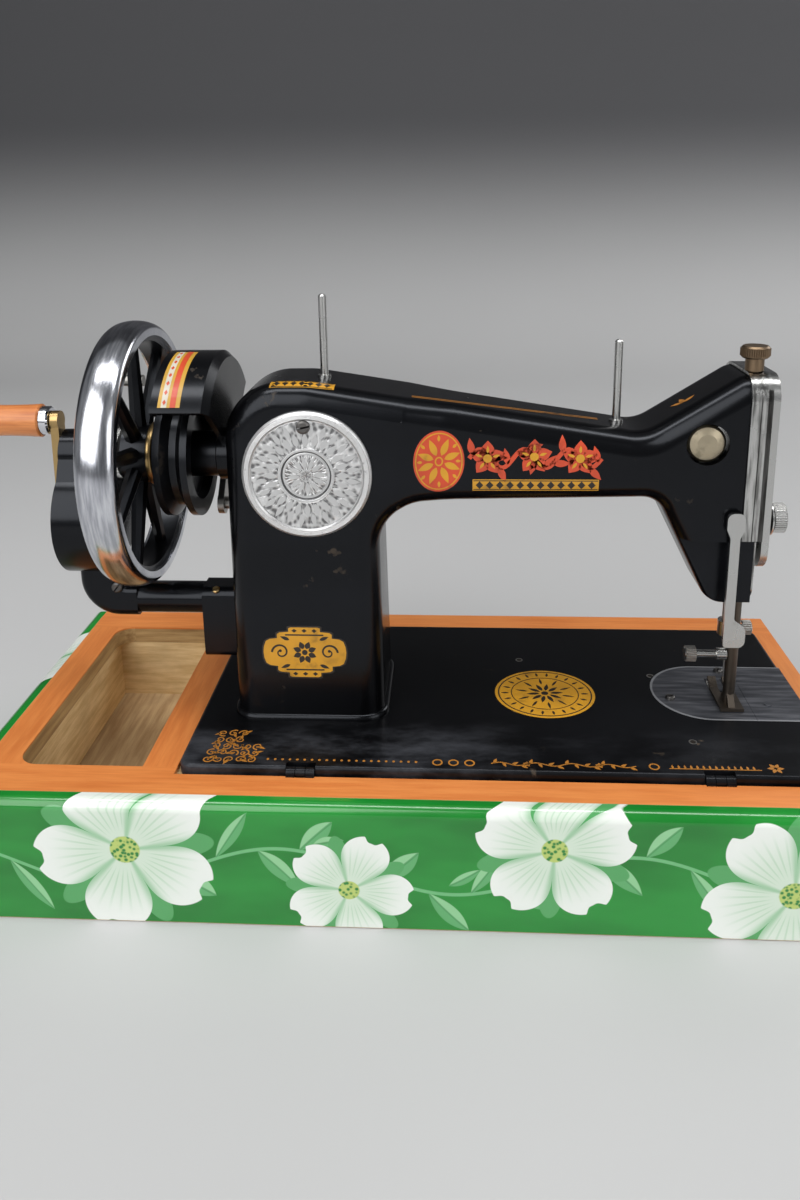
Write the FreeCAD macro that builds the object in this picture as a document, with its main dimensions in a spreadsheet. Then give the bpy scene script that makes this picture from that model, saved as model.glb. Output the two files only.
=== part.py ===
import FreeCAD, Part
import math
import os

import Sketcher

# Hand-cranked sewing machine hinged in a wooden base, as an assembly of separate pieces.
# Millimetres, +Z up. X runs from the handwheel to the needle, Y from the rear to the operator.
# The origin is the middle of the base's underside.

SIZES = {
    # wooden base
    "base_height": 75.0,
    "board_thickness": 9.0,
    "board_edge_round": 6.0,
    "bottom_thickness": 8.0,
    "rail_thickness": 12.0,
    "rail_width": 27.0,
    "wheel_end_rail_width": 28.5,
    "head_end_rail_width": 13.0,
    "divider_width": 20.0,
    "tray_width": 74.5,
    "tray_rear_margin": 33.5,
    "tray_corner_radius": 12.0,
    "tray_floor_height": 20.0,
    "tray_wall_thickness": 6.0,
    "rest_width": 26.0,
    "rest_reach": 12.0,
    "rest_drop": 22.0,
    "rest_relief": 4.0,
    # hinges of the bed
    "hinge_width": 16.0,
    "hinge_inset": 70.0,
    "hinge_knuckle_radius": 3.0,
    "hinge_pin_radius": 1.5,
    "hinge_reach": 1.0,
    "hinge_rise": 1.0,
    "hinge_leaf_thickness": 1.2,
    "hinge_leaf_drop": 12.0,
    "hinge_tongue_thickness": 2.0,
    "hinge_tongue_length": 13.0,
    # bed
    "bed_length": 371.0,
    "bed_depth": 178.0,
    "bed_proud": 5.0,
    "bed_skirt": 8.0,
    "bed_web": 5.0,
    "bed_rim": 7.0,
    "bed_gap": 1.5,
    "bed_corner_radius": 8.0,
    "bed_edge_round": 2.5,
    # arm casting: rises and drops from the arm shaft, heights from the bed
    "pillar_inset": 22.5,
    "pillar_width": 91.0,
    "pillar_foot_half_depth": 39.0,
    "pillar_top_half_depth": 33.0,
    "pillar_wall": 13.0,
    "pillar_side_wall": 6.0,
    "pillar_room": 34.0,
    "pillar_corner_radius": 34.0,
    "pillar_shoulder_radius": 22.0,
    "pillar_crown": 48.5,
    "pillar_crest_reach": 49.0,
    "arm_half_depth": 28.5,
    "arm_waist_rise": 17.5,
    "arm_waist_reach": 65.5,
    "arm_underside_drop": 24.0,
    "arm_underside_rise": 3.0,
    "arm_throat_radius": 26.0,
    "pillar_throat_taper": 2.0,
    "arm_edge_round": 13.0,
    "arm_tunnel_radius": 15.0,
    "arm_neck_offset": -40.0,
    "arm_neck_ratio": 5.16,
    "head_length": 57.0,
    "head_crown": 38.0,
    "head_top_flat": 12.0,
    "head_bottom_height": 70.0,
    "head_bottom_length": 24.0,
    "head_corner_radius": 14.0,
    "head_wall": 5.0,
    "blank_spare": 5.0,
    "boss_top_height": 112.0,
    "boss_half_depth": 22.0,
    "cast_boss_radius": 16.0,
    "cast_boss_length": 8.0,
    "boss_sink": 2.0,
    "boss_step_lap": 3.0,
    "boss_hollow_run": 18.0,
    "cavity_gap": 3.0,
    "cavity_corner_run": 12.0,
    "cavity_corner_rise": 8.0,
    "cavity_top_drop": 10.0,
    "cavity_end_drop": 5.0,
    # needle and presser line
    "needle_inset": 46.0,
    "needle_overhang": 5.5,
    "presser_offset": 14.0,
    "needle_bar_radius": 3.2,
    "needle_bar_bottom": 40.0,
    "needle_bar_crown": 7.5,
    "needle_radius": 0.8,
    "needle_length": 30.0,
    "needle_point": 3.6,
    "needle_blade": 18.0,
    "needle_shoulder": 19.8,
    "needle_tip_radius": 0.44,
    "needle_blade_radius": 0.48,
    "needle_clamp_radius": 5.6,
    "needle_clamp_height": 10.0,
    "clamp_screw_radius": 1.8,
    "clamp_screw_neck": 5.0,
    "clamp_screw_head_radius": 4.2,
    "clamp_screw_head": 6.0,
    "clamp_screw_bevel": 0.7,
    "clamp_screw_sink": 0.5,
    "needle_bracket_half": 6.0,
    "needle_bracket_corner": 2.0,
    "needle_bracket_wall": 2.0,
    "presser_bar_radius": 3.6,
    "presser_bar_bottom": 9.0,
    "presser_bar_length": 150.0,
    "foot_length": 34.0,
    "foot_width": 14.0,
    "foot_sole": 1.8,
    "foot_rest_gap": 0.4,
    "foot_heel": 10.0,
    "foot_toe_length": 7.0,
    "foot_toe_rise": 4.0,
    "foot_toe_lean": 0.9,
    "foot_rib_half": 2.0,
    "foot_rib_reach": 9.0,
    "foot_rib_top": 3.0,
    "foot_fork_half": 2.0,
    "foot_fork_depth": 4.0,
    "foot_screw_height": 34.0,
    "foot_screw_length": 25.0,
    "foot_screw_head_radius": 4.4,
    "foot_screw_head_length": 7.0,
    "foot_screw_neck_radius": 2.2,
    "foot_screw_collar_length": 6.0,
    "foot_screw_collar_radius": 3.6,
    "pressure_knob_radius": 7.8,
    "pressure_knob_height": 7.0,
    "pressure_neck_radius": 5.2,
    "pressure_neck_height": 7.0,
    "pressure_stem_sink": 10.0,
    "lifter_length": 78.0,
    "lifter_width": 5.5,
    "lifter_thickness": 2.5,
    "lifter_height": 126.0,
    "lifter_hub_radius": 5.0,
    "lifter_boss_radius": 4.5,
    "lifter_stand": 1.0,
    "lifter_fillet": 4.0,
    "lifter_end_round": 2.0,
    "lifter_tab": 7.0,
    "lifter_tab_length": 12.0,
    "lifter_tab_slope": 5.0,
    # running and seating clearances
    "running_gap": 0.05,
    "seat_gap": 0.02,
    "open_gap": 0.4,
    "cut_spare": 1.0,
    "overlap": 1.0,
    "small_bevel": 1.0,
    # arm shaft and handwheel
    "shaft_height": 157.0,
    "shaft_radius": 6.0,
    "bush_radius": 11.0,
    "bush_length": 18.0,
    "wheel_radius": 81.0,
    "wheel_rim_width": 22.0,
    "wheel_rim_depth": 9.0,
    "wheel_rim_crown": 5.0,
    "wheel_rim_steps": 8.0,
    "wheel_band_inset": 3.0,
    "wheel_offset": 59.0,
    "wheel_hub_radius": 18.0,
    "wheel_hub_left": 9.0,
    "wheel_band_depth": 3.0,
    "spoke_count": 9.0,
    "spoke_sides": 8.0,
    "spoke_root_radius": 5.2,
    "spoke_tip_radius": 3.6,
    "spoke_sink": 1.5,
    "pulley_radius": 38.0,
    "pulley_width": 20.0,
    "pulley_groove": 6.0,
    "pulley_offset": 30.0,
    "pulley_lip": 4.0,
    "pulley_floor_half": 2.0,
    "pulley_wall": 4.0,
    "hub_bevel": 2.0,
    "hub_neck_step": 4.0,
    "hub_end_gap": 1.0,
    "clutch_radius": 15.0,
    "clutch_thickness": 5.5,
    "clutch_crown": 3.0,
    "eccentric_radius": 14.0,
    "eccentric_throw": 4.0,
    "eccentric_width": 10.0,
    "guard_radius": 63.0,
    "guard_wall": 3.0,
    "guard_width": 33.0,
    "guard_sweep": 108.0,
    "guard_middle_angle": 90.0,
    "guard_bevel": 4.0,
    "guard_lip": 2.0,
    "guard_stand": 2.0,
    # hand crank
    "case_wall": 3.0,
    "case_gap": 8.0,
    "case_depth": 24.0,
    "case_tooth_gap": 2.0,
    "gear_module": 1.0,
    "gear_teeth": 60.0,
    "pinion_teeth": 20.0,
    "gear_width": 12.0,
    "gear_backlash": 0.3,
    "gear_side_gap": 1.5,
    "crank_shaft_radius": 5.0,
    "crank_length": 61.0,
    "crank_thickness": 5.0,
    "crank_hub_radius": 9.0,
    "crank_tip_radius": 6.0,
    "crank_web_share": 0.8,
    "crank_gap": 2.0,
    "handle_pin_radius": 3.0,
    "handle_pin_short": 6.0,
    "handle_end_wall": 5.0,
    "handle_length": 74.0,
    "handle_end_radius": 8.4,
    "handle_belly_radius": 11.5,
    "ferrule_length": 5.5,
    "ferrule_radius": 8.8,
    "finger_radius": 3.5,
    "finger_orbit": 45.0,
    "finger_reach": 16.0,
    "finger_angle": 20.0,
    "driver_boss_wall": 4.0,
    "driver_strap_root": 7.0,
    "driver_strap_tip": 4.0,
    "driver_thickness": 3.0,
    "tube_radius": 10.0,
    "tube_height": 62.0,
    "elbow_reach": 12.0,
    "elbow_radius": 24.0,
    "elbow_inner_radius": 6.0,
    "elbow_edge_round": 5.0,
    "post_width": 24.0,
    "post_depth": 24.0,
    "post_bottom": 26.0,
    "post_corner": 4.0,
    "post_shoulder": 6.0,
    # rear cover
    "cover_drop": 3.0,
    "cover_inset": 71.5,
    "cover_radius": 37.5,
    "cover_thickness": 4.5,
    "cover_window_radius": 30.0,
    "cover_ring_radius": 15.5,
    "cover_ring_half_width": 1.0,
    "cover_rim_width": 4.0,
    "cover_groove_depth": 1.0,
    "cover_bevel": 1.5,
    "cover_dish": 0.6,
    "cover_seat_depth": 33.2,
    # face end
    "face_flange": 10.0,
    "face_sheet": 1.6,
    "face_bottom": 113.0,
    "face_tail_margin": 2.0,
    "face_tail_corner": 8.0,
    "guard_strip_thickness": 4.2,
    "guard_strip_stand": 1.8,
    "guard_strip_half_depth": 24.0,
    "guard_strip_bottom": 91.0,
    "guard_strip_edge": 2.5,
    "guard_window_rise": 26.0,
    "guard_window_drop": 9.0,
    "guard_post_rise": 17.0,
    "guard_post_drop": 5.0,
    "takeup_slot_rise": 30.0,
    "takeup_slot_drop": 12.0,
    "tension_height": 121.0,
    "tension_setback": 11.0,
    "tension_disc_radius": 10.5,
    "tension_disc_thickness": 1.5,
    "tension_disc_gap": 0.2,
    "tension_disc_rim": 0.9,
    "tension_disc_dish": 3.0,
    "tension_nut_bevel": 1.5,
    "tension_stud_short": 2.0,
    "tension_nut_radius": 8.5,
    "tension_nut_length": 8.0,
    "tension_stud_radius": 2.5,
    # needle crank, link and take-up
    "cam_radius": 19.0,
    "cam_length": 11.0,
    "cam_inset": 34.0,
    "cam_flange": 3.3,
    "cam_groove_depth": 4.0,
    "crank_pin_length": 5.0,
    "needle_throw": 15.5,
    "link_length": 30.0,
    "link_thickness": 4.0,
    "link_eye_radius": 4.6,
    "link_pin_radius": 2.2,
    "link_offset": 5.0,
    "link_waist": 0.7,
    "takeup_inset": 32.0,
    "takeup_above_shaft": 13.0,
    "takeup_port_radius": 12.0,
    "takeup_thickness": 2.5,
    "takeup_reach": 40.0,
    "takeup_rise": 14.0,
    "takeup_jog": 4.0,
    "takeup_jog_inset": 1.0,
    "takeup_tip_half": 3.5,
    "takeup_hub_half": 7.0,
    "takeup_hub_corner": 5.0,
    "takeup_pivot_radius": 4.0,
    "takeup_eye_radius": 1.2,
    "takeup_eye_inset": 3.0,
    "takeup_dome": 3.2,
    "takeup_stud_gap": 1.0,
    "takeup_stud_sink": 1.0,
    # plates in the bed
    "plate_half_width": 33.0,
    "plate_left": 44.0,
    "plate_right": 12.5,
    "plate_thickness": 2.4,
    "plate_end_flat": 1.0,
    "plate_gap": 0.2,
    "feed_slot_half_width": 7.0,
    "feed_slot_half_length": 17.0,
    "feed_travel": 2.0,
    "feed_side_gap": 0.6,
    "needle_hole_radius": 1.6,
    "slide_stud_reach": 12.0,
    "slide_stud_height": 0.6,
    "feed_bridge": 1.4,
    "feed_bar_drop": 6.0,
    "feed_well_half_width": 1.8,
    "feed_well_half_length": 4.0,
    "feed_tooth_count": 7.0,
    "feed_tooth_depth": 0.9,
    "feed_tooth_proud": 0.2,
    "feed_tooth_slope": 0.8,
    # shuttle under the bed
    "hook_drop": 30.0,
    "hook_radius": 17.0,
    "hook_core_radius": 11.4,
    "hook_length": 12.0,
    "hook_side_gap": 2.5,
    "hook_floor": 2.0,
    "race_radius": 21.5,
    "race_sweep": 290.0,
    "race_start": 125.0,
    "race_overhang": 1.0,
    "race_foot_reach": 2.0,
    "race_foot_drop": 4.0,
    "race_foot_lap": 2.0,
    "hook_sweep": 285.0,
    "hook_start": 140.0,
    "hook_bevel": 2.0,
    "bobbin_case_proud": 4.0,
    "hook_shaft_radius": 5.0,
    "hook_crank_reach": 12.0,
    "hook_crank_offset": 3.0,
    "hook_crank_width": 6.0,
    "hook_crank_half": 6.0,
    "hook_pin_radius": 3.0,
    "bearing_width": 12.0,
    "lug_flare": 6.0,
    "lug_offset": 12.0,
    "lug_needle_offset": 46.0,
    "hook_well_margin": 5.0,
    "hook_well_reach": 26.0,
    "rod_width": 12.0,
    "rod_thickness": 6.0,
    "rod_travel": 4.0,
    "rod_ring_wall": 3.4,
    # fittings on the operator's side and the top
    "spool_pin_radius": 2.4,
    "spool_pin_length": 49.0,
    "spool_pin_seat": 12.0,
    "spool_pin_shank_radius": 1.8,
    "spool_pin_collar_radius": 4.0,
    "spool_pin_collar_rise": 1.5,
    "spool_pin_collar_sink": 1.0,
    "spool_pin_tip": 1.0,
    "pillar_pin_inset": 79.0,
    "arm_pin_inset": 79.0,
    "stitch_height": 76.0,
    "stitch_plate_width": 26.0,
    "stitch_plate_length": 52.0,
    "stitch_plate_thickness": 3.0,
    "stitch_seat_depth": 35.4,
    "stitch_lever_width": 5.0,
    "stitch_lever_length": 22.0,
    "stitch_pin_radius": 2.5,
    "stitch_pivot_rise": 4.5,
    "stitch_ear_width": 3.0,
    "stitch_ear_half": 5.0,
    "stitch_ear_round": 3.0,
    "stitch_hub_wall": 1.4,
    "stitch_blade_half": 2.0,
    "stitch_thumb_half": 4.0,
    "stitch_thumb_length": 6.0,
    "stitch_thumb_corner": 2.0,
    "winder_pin_depth": 24.0,
    "winder_pin_drop": 40.0,
    "winder_pin_radius": 4.0,
    "winder_pin_seat": 10.0,
    "winder_hub_wall": 3.0,
    "winder_arm_thickness": 4.0,
    "winder_tyre_radius": 10.0,
    "winder_tyre_width": 12.0,
    "winder_tyre_bevel": 2.0,
    "winder_spindle_radius": 2.5,
    "winder_nose_radius": 3.0,
    "winder_nose_length": 13.0,
    "winder_web_half": 4.5,
    "winder_angle": 14.0,
}

# Node names in the order they are written.
PARTS = []

doc = FreeCAD.newDocument("SewingMachine")


class Size:
    """A number with the sheet formula that gives it."""

    def __init__(self, value, text):
        self.value = value
        self.text = text

    def __add__(self, other):
        other = as_size(other)
        return Size(self.value + other.value, f"({self.text} + {other.text})")

    def __sub__(self, other):
        other = as_size(other)
        return Size(self.value - other.value, f"({self.text} - {other.text})")

    def __mul__(self, other):
        other = as_size(other)
        return Size(self.value * other.value, f"({self.text} * {other.text})")

    def __truediv__(self, other):
        other = as_size(other)
        return Size(self.value / other.value, f"({self.text} / {other.text})")

    def __neg__(self):
        return Size(-self.value, f"(0 - {self.text})")

    def __radd__(self, other):
        return as_size(other) + self

    def __rsub__(self, other):
        return as_size(other) - self

    def __rmul__(self, other):
        return as_size(other) * self


def as_size(number):
    """Give a plain number the form of a size."""
    if isinstance(number, Size):
        return number
    return Size(float(number), f"({float(number)!r})")


def cosine(angle):
    """Cosine of a size in degrees."""
    angle = as_size(angle)
    return Size(math.cos(math.radians(angle.value)), f"cos({angle.text})")


def sine(angle):
    """Sine of a size in degrees."""
    angle = as_size(angle)
    return Size(math.sin(math.radians(angle.value)), f"sin({angle.text})")


class Sheet:
    """The spreadsheet of driving sizes; each alias is an attribute."""

    def __init__(self, values):
        self.cells = doc.addObject("Spreadsheet::Sheet", "Sizes")
        for row, (alias, value) in enumerate(values.items(), start=1):
            self.cells.set(f"A{row}", alias)
            self.cells.set(f"B{row}", str(value))
            self.cells.setAlias(f"B{row}", alias)
            setattr(self, alias, Size(value, f"Sizes.{alias}"))


s = Sheet(SIZES)
doc.recompute()

# How each sketch plane's two directions and normal lie in the model.
PLANES = {"XY_Plane": "xyz", "XZ_Plane": "xzy", "YZ_Plane": "yzx"}
TURN_TO = {
    "X": FreeCAD.Rotation(),
    "Y": FreeCAD.Rotation(FreeCAD.Vector(0, 0, 1), 90),
    "Z": FreeCAD.Rotation(FreeCAD.Vector(0, 1, 0), -90),
}
ROD_TO = {
    "X": FreeCAD.Rotation(FreeCAD.Vector(0, 1, 0), 90),
    "Y": FreeCAD.Rotation(FreeCAD.Vector(1, 0, 0), -90),
    "Z": FreeCAD.Rotation(),
}
MATCH = 1e-4
# Gear teeth: tip and root heights in modules, half widths as shares of the pitch.
TOOTH_TIP = 0.85
TOOTH_ROOT = 1.25
TOOTH_TIP_SHARE = 0.13
TOOTH_ROOT_SHARE = 0.30
# The grip's outline: shares of its length and of its swell from end to belly.
GRIP_STATIONS = ((0.0, 0.0), (0.14, 0.3), (0.42, 1.0), (0.80, 0.3), (0.95, -0.5), (1.0, -1.6))


def bind(obj, path, size):
    """Tie one property of an object to its formula."""
    obj.setExpression(path, as_size(size).text)


def place(obj, base, rotation=None):
    """Put an object at a point given by three sizes."""
    base = [as_size(size) for size in base]
    point = FreeCAD.Vector(*[size.value for size in base])
    obj.Placement = FreeCAD.Placement(point, rotation or FreeCAD.Rotation())
    for letter, size in zip("xyz", base):
        bind(obj, f"Placement.Base.{letter}", size)
    return obj


def box(label, low, high):
    """A block between two corners."""
    block = doc.addObject("Part::Box", label)
    for name, start, end in zip(("Length", "Width", "Height"), low, high):
        bind(block, name, end - start)
    return place(block, low)


def rod(label, direction, start, radius, length):
    """A round bar from a point along X, Y or Z."""
    bar = doc.addObject("Part::Cylinder", label)
    bind(bar, "Radius", radius)
    bind(bar, "Height", length)
    return place(bar, start, ROD_TO[direction])


def new_sketch(body, plane):
    """A sketch on one of the body's own origin planes."""
    sketch = body.newObject("Sketcher::SketchObject", f"{body.Name}_sketch")
    support = next(item for item in body.Origin.OriginFeatures if item.Role == plane)
    sketch.AttachmentSupport = [(support, "")]
    sketch.MapMode = "FlatFace"
    return sketch


def draw_outline(sketch, corners):
    """Draw a closed outline whose corners are tied to their sizes."""
    points = [FreeCAD.Vector(as_size(c[0]).value, as_size(c[1]).value, 0) for c in corners]
    for index, point in enumerate(points):
        sketch.addGeometry(Part.LineSegment(point, points[(index + 1) % len(points)]))
    for index, corner in enumerate(corners):
        before = (index - 1) % len(corners)
        sketch.addConstraint(Sketcher.Constraint("Coincident", before, 2, index, 1))
        for kind, name, size in zip(("DistanceX", "DistanceY"), "ab", corner):
            size = as_size(size)
            constraint = Sketcher.Constraint(kind, -1, 1, index, 1, size.value)
            number = sketch.addConstraint(constraint)
            sketch.renameConstraint(number, f"{name}{index}")
            bind(sketch, f"Constraints.{name}{index}", size)


def corner_edges(shape, plane, corner):
    """Names of the edges that stand on one corner of a padded outline."""
    across, along, _ = PLANES[plane]
    names = []
    for number, edge in enumerate(shape.Edges, start=1):
        ends = [vertex.Point for vertex in edge.Vertexes]
        near = all(
            abs(getattr(end, across) - as_size(corner[0]).value) < MATCH
            and abs(getattr(end, along) - as_size(corner[1]).value) < MATCH
            for end in ends
        )
        if near and len(ends) == 2:
            names.append(f"Edge{number}")
    return names


def round_corners(body, plane, corners):
    """Round each corner that carries a radius as its third value."""
    radii = {}
    for corner in corners:
        if len(corner) == 3:
            radii.setdefault(corner[2].text, []).append(corner)
    for group in radii.values():
        doc.recompute()
        base = body.Tip
        edges = [name for corner in group for name in corner_edges(base.Shape, plane, corner)]
        fillet = body.newObject("PartDesign::Fillet", f"{body.Name}_round")
        fillet.Base = (base, edges)
        bind(fillet, "Radius", group[0][2])


def pad(label, plane, corners, low, high):
    """A body padded from an outline, between two places along the plane's normal."""
    body = doc.addObject("PartDesign::Body", label)
    sketch = new_sketch(body, plane)
    draw_outline(sketch, corners)
    feature = body.newObject("PartDesign::Pad", f"{body.Name}_pad")
    feature.Profile = sketch
    bind(feature, "Length", high - low)
    start = high if plane == "XZ_Plane" else low
    place(body, [start if letter == PLANES[plane][2] else 0 for letter in "xyz"])
    round_corners(body, plane, corners)
    return body


def turn(label, direction, centre, profile, sweep=360, start_angle=0):
    """A body turned about a line: profile pairs are (along, radius)."""
    body = doc.addObject("PartDesign::Body", label)
    sketch = new_sketch(body, "XY_Plane")
    draw_outline(sketch, profile)
    feature = body.newObject("PartDesign::Revolution", f"{body.Name}_turn")
    feature.Profile = sketch
    feature.ReferenceAxis = (sketch, ["H_Axis"])
    bind(feature, "Angle", sweep)
    roll = FreeCAD.Rotation(FreeCAD.Vector(1, 0, 0), start_angle)
    return place(body, centre, TURN_TO[direction] * roll)


def join(label, kind, property_name, members):
    """Combine several objects in one boolean."""
    result = doc.addObject(kind, label)
    setattr(result, property_name, list(members))
    return result


def fuse(label, *members):
    """One solid from several."""
    return join(label, "Part::MultiFuse", "Shapes", members)


def common(label, *members):
    """What several solids share."""
    return join(label, "Part::MultiCommon", "Shapes", members)


def cut(label, base, *tools):
    """A solid less one or more tools."""
    result = doc.addObject("Part::Cut", label)
    result.Base = base
    result.Tool = tools[0] if len(tools) == 1 else fuse(f"{label}_tools", *tools)
    return result


def group(label, *members):
    """Identical pieces that share a node, as separate solids."""
    return join(label, "Part::Compound", "Links", members)


def round_edges(label, base, radius, rule):
    """Round the edges of a solid that a rule picks by their bounding boxes."""
    doc.recompute()
    result = doc.addObject("Part::Fillet", label)
    result.Base = base
    value = as_size(radius).value
    picked = [n for n, edge in enumerate(base.Shape.Edges, start=1) if rule(edge.BoundBox)]
    result.Edges = [(number, value, value) for number in picked]
    return result


def part(node, obj):
    """Register a finished piece under its node's name."""
    obj.Label = node
    PARTS.append(obj)
    return obj


# Places that several pieces share.
tray_end_length = s.wheel_end_rail_width + s.tray_width + s.divider_width
base_length = tray_end_length + s.bed_length + 2 * s.bed_gap + s.head_end_rail_width
base_depth = s.bed_depth + 2 * s.bed_gap + 2 * s.rail_width
left = -(base_length / 2)
right = base_length / 2
rear = -(base_depth / 2)
front = base_depth / 2
rail_bottom = s.base_height - s.rail_thickness
tray_left = left + s.wheel_end_rail_width
tray_right = tray_left + s.tray_width
tray_rear = rear + s.tray_rear_margin
well_left = tray_right + s.divider_width
well_right = right - s.head_end_rail_width
well_rear = rear + s.rail_width
well_front = front - s.rail_width
bed_left = well_left + s.bed_gap
bed_right = well_right - s.bed_gap
bed_rear = well_rear + s.bed_gap
bed_front = well_front - s.bed_gap
bed_top = s.base_height + s.bed_proud
bed_bottom = bed_top - s.bed_skirt
web_bottom = bed_top - s.bed_web
hinge_y = bed_rear + s.hinge_reach
hinge_z = s.base_height + s.hinge_rise
hinge_places = (bed_left + s.hinge_inset, bed_right - s.hinge_inset)
pillar_left = bed_left + s.pillar_inset
pillar_right = pillar_left + s.pillar_width
needle_x = bed_right - s.needle_inset
presser_y = -s.presser_offset
head_end = needle_x + s.needle_overhang
head_left = head_end - s.head_length
shaft_z = bed_top + s.shaft_height
wheel_x = pillar_left - s.wheel_offset
wheel_left = wheel_x - s.wheel_rim_width / 2
hub_left = wheel_x - s.wheel_hub_left
cast_boss_left = pillar_left - s.cast_boss_length
hook_z = bed_top - s.hook_drop
rod_x = pillar_left + s.pillar_width / 2
case_right = wheel_left - s.case_gap
case_left = case_right - s.case_depth
gear_distance = s.gear_module * (s.gear_teeth + s.pinion_teeth) / 2 + s.gear_backlash
crank_z = shaft_z - gear_distance
gear_left = case_left + s.case_wall + s.gear_side_gap
tube_z = bed_top + s.tube_height
face_outside = head_end + s.face_sheet
strip_left = face_outside + s.guard_strip_stand
strip_right = strip_left + s.guard_strip_thickness
tension_y = -s.tension_setback
tension_z = bed_top + s.tension_height
cam_left = head_end - s.cam_inset
takeup_x = head_end - s.takeup_inset
takeup_z = shaft_z + s.takeup_above_shaft
head_top = takeup_z + s.head_crown
pillar_top = shaft_z + s.pillar_crown
arm_waist = shaft_z + s.arm_waist_rise
arm_underside = shaft_z - s.arm_underside_drop
cover_x = pillar_left + s.cover_inset - s.pillar_inset
cover_z = shaft_z - s.cover_drop
needle_bar_top = shaft_z + s.needle_throw - s.link_length + s.needle_bar_crown
cavity_left = cam_left - s.cavity_gap
link_left = cam_left + s.cam_length + s.link_offset + s.open_gap
plate_right = needle_x + s.plate_right
plate_bottom = bed_top - s.plate_thickness


def rounded_board(node, low, high, outer_side):
    """A laminated board whose outer top edge is rounded over."""
    top = high[2].value

    def outer_top(bounds):
        flat = bounds.ZMin > top - MATCH
        if outer_side == "rear":
            return flat and bounds.YMax < low[1].value + MATCH
        return flat and bounds.XMax < low[0].value + MATCH

    blank = box(f"{node}_blank", low, high)
    part(node, round_edges(f"{node}_rounded", blank, s.board_edge_round, outer_top))


def build_boards():
    """Four side boards and the bottom of the base."""
    inner_left = left + s.board_thickness
    inner_right = right - s.board_thickness
    inner_rear = rear + s.board_thickness
    inner_front = front - s.board_thickness
    zero = as_size(0)
    rounded_board("rear_board", (left, rear, zero), (right, inner_rear, s.base_height), "rear")
    rounded_board("wheel_end_board", (left, inner_rear, zero), (inner_left, front, s.base_height), "wheel")
    part("front_board", box("front_panel", (inner_left, inner_front, zero), (right, front, rail_bottom)))
    low = (inner_right, inner_rear, zero)
    part("head_end_board", box("head_panel", low, (right, inner_front, rail_bottom)))
    low = (inner_left, inner_rear, zero)
    part("bottom_board", box("bottom_panel", low, (inner_right, inner_front, s.bottom_thickness)))


def build_rails():
    """The varnished rails that frame the tray and the bed."""
    inner_left = left + s.board_thickness
    inner_rear = rear + s.board_thickness
    top = s.base_height
    recess_rear = well_rear - s.hinge_leaf_thickness - s.seat_gap
    rear_rail = pad(
        "rear_rail_blank",
        "XY_Plane",
        [
            (inner_left, inner_rear),
            (right, inner_rear),
            (right, well_rear),
            (well_left, well_rear),
            (well_left, tray_rear),
            (inner_left, tray_rear),
        ],
        rail_bottom,
        top,
    )
    notches = []
    for number, x in enumerate(hinge_places):
        half = s.hinge_width / 2 + s.seat_gap
        low = (x - half, recess_rear, rail_bottom - s.cut_spare)
        high = (x + half, well_rear + s.cut_spare, top + s.cut_spare)
        notches.append(box(f"hinge_notch_{number}", low, high))
    part("rear_rail", cut("rear_rail_cut", rear_rail, *notches))
    low = (inner_left, well_front, rail_bottom)
    part("front_rail", box("front_rail_block", low, (right, front, top)))
    flare = s.tray_corner_radius
    low = (inner_left, tray_rear, rail_bottom)
    wheel_rail = box("wheel_rail_block", low, (tray_left + flare, well_front, top))
    window = pad(
        "wheel_rail_window",
        "XY_Plane",
        [
            (tray_left, tray_rear, flare),
            (tray_right, tray_rear),
            (tray_right, well_front),
            (tray_left, well_front, flare),
        ],
        rail_bottom - s.cut_spare,
        top + s.cut_spare,
    )
    part("wheel_end_rail", cut("wheel_end_rail_cut", wheel_rail, window))
    low = (tray_right, tray_rear, rail_bottom)
    part("divider_rail", box("divider_rail_block", low, (well_left, well_front, top)))
    low = (well_right, well_rear, rail_bottom)
    part("head_end_rail", box("head_rail_block", low, (right, well_front, top)))


def build_tray():
    """The bare wooden tray under the rails, at the wheel end."""
    wall = s.tray_wall_thickness
    low_z = s.bottom_thickness
    walls = []
    for number, x in enumerate((tray_left - wall, tray_right)):
        low = (x, tray_rear - wall, low_z)
        walls.append(box(f"tray_side_{number}", low, (x + wall, well_front + wall, rail_bottom)))
    for number, y in enumerate((tray_rear - wall, well_front)):
        walls.append(box(f"tray_end_{number}", (tray_left, y, low_z), (tray_right, y + wall, rail_bottom)))
    part("tray_walls", group("tray_boards", *walls))
    floor_low = (tray_left, tray_rear, s.tray_floor_height - wall)
    part("tray_floor", box("tray_floor_board", floor_low, (tray_right, well_front, s.tray_floor_height)))


def build_bed_rests():
    """Stepped blocks under the four corners of the bed, relieved where its edge dips as it tilts."""
    blocks = []
    inner_rear = rear + s.board_thickness
    inner_front = front - s.board_thickness
    low_z = rail_bottom - s.rest_drop
    for index, x in enumerate((well_left, well_right - s.rest_width)):
        sides = (
            (inner_rear, well_rear + s.rest_relief, well_rear + s.rest_reach),
            (inner_front, well_front - s.rest_relief, well_front - s.rest_reach),
        )
        for side, (outer, edge, tip) in enumerate(sides):
            outline = [
                (outer, low_z),
                (outer, rail_bottom),
                (edge, rail_bottom),
                (edge, bed_bottom),
                (tip, bed_bottom),
                (tip, rail_bottom),
            ]
            blocks.append(pad(f"bed_rest_{index}_{side}", "YZ_Plane", outline, x, x + s.rest_width))
    part("bed_rests", group("bed_rest_blocks", *blocks))


def build_hinges():
    """Two hinges in the bed's rear edge: leaf with pin on the rail, tongue under the bed."""
    leaves = []
    tongues = []
    for number, x in enumerate(hinge_places):
        leaves.append(hinge_leaf(number, x))
        tongues.append(hinge_tongue(number, x))
    part("hinge_leaves", group("hinge_leaf_pair", *leaves))
    part("hinge_tongues", group("hinge_tongue_pair", *tongues))


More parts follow.
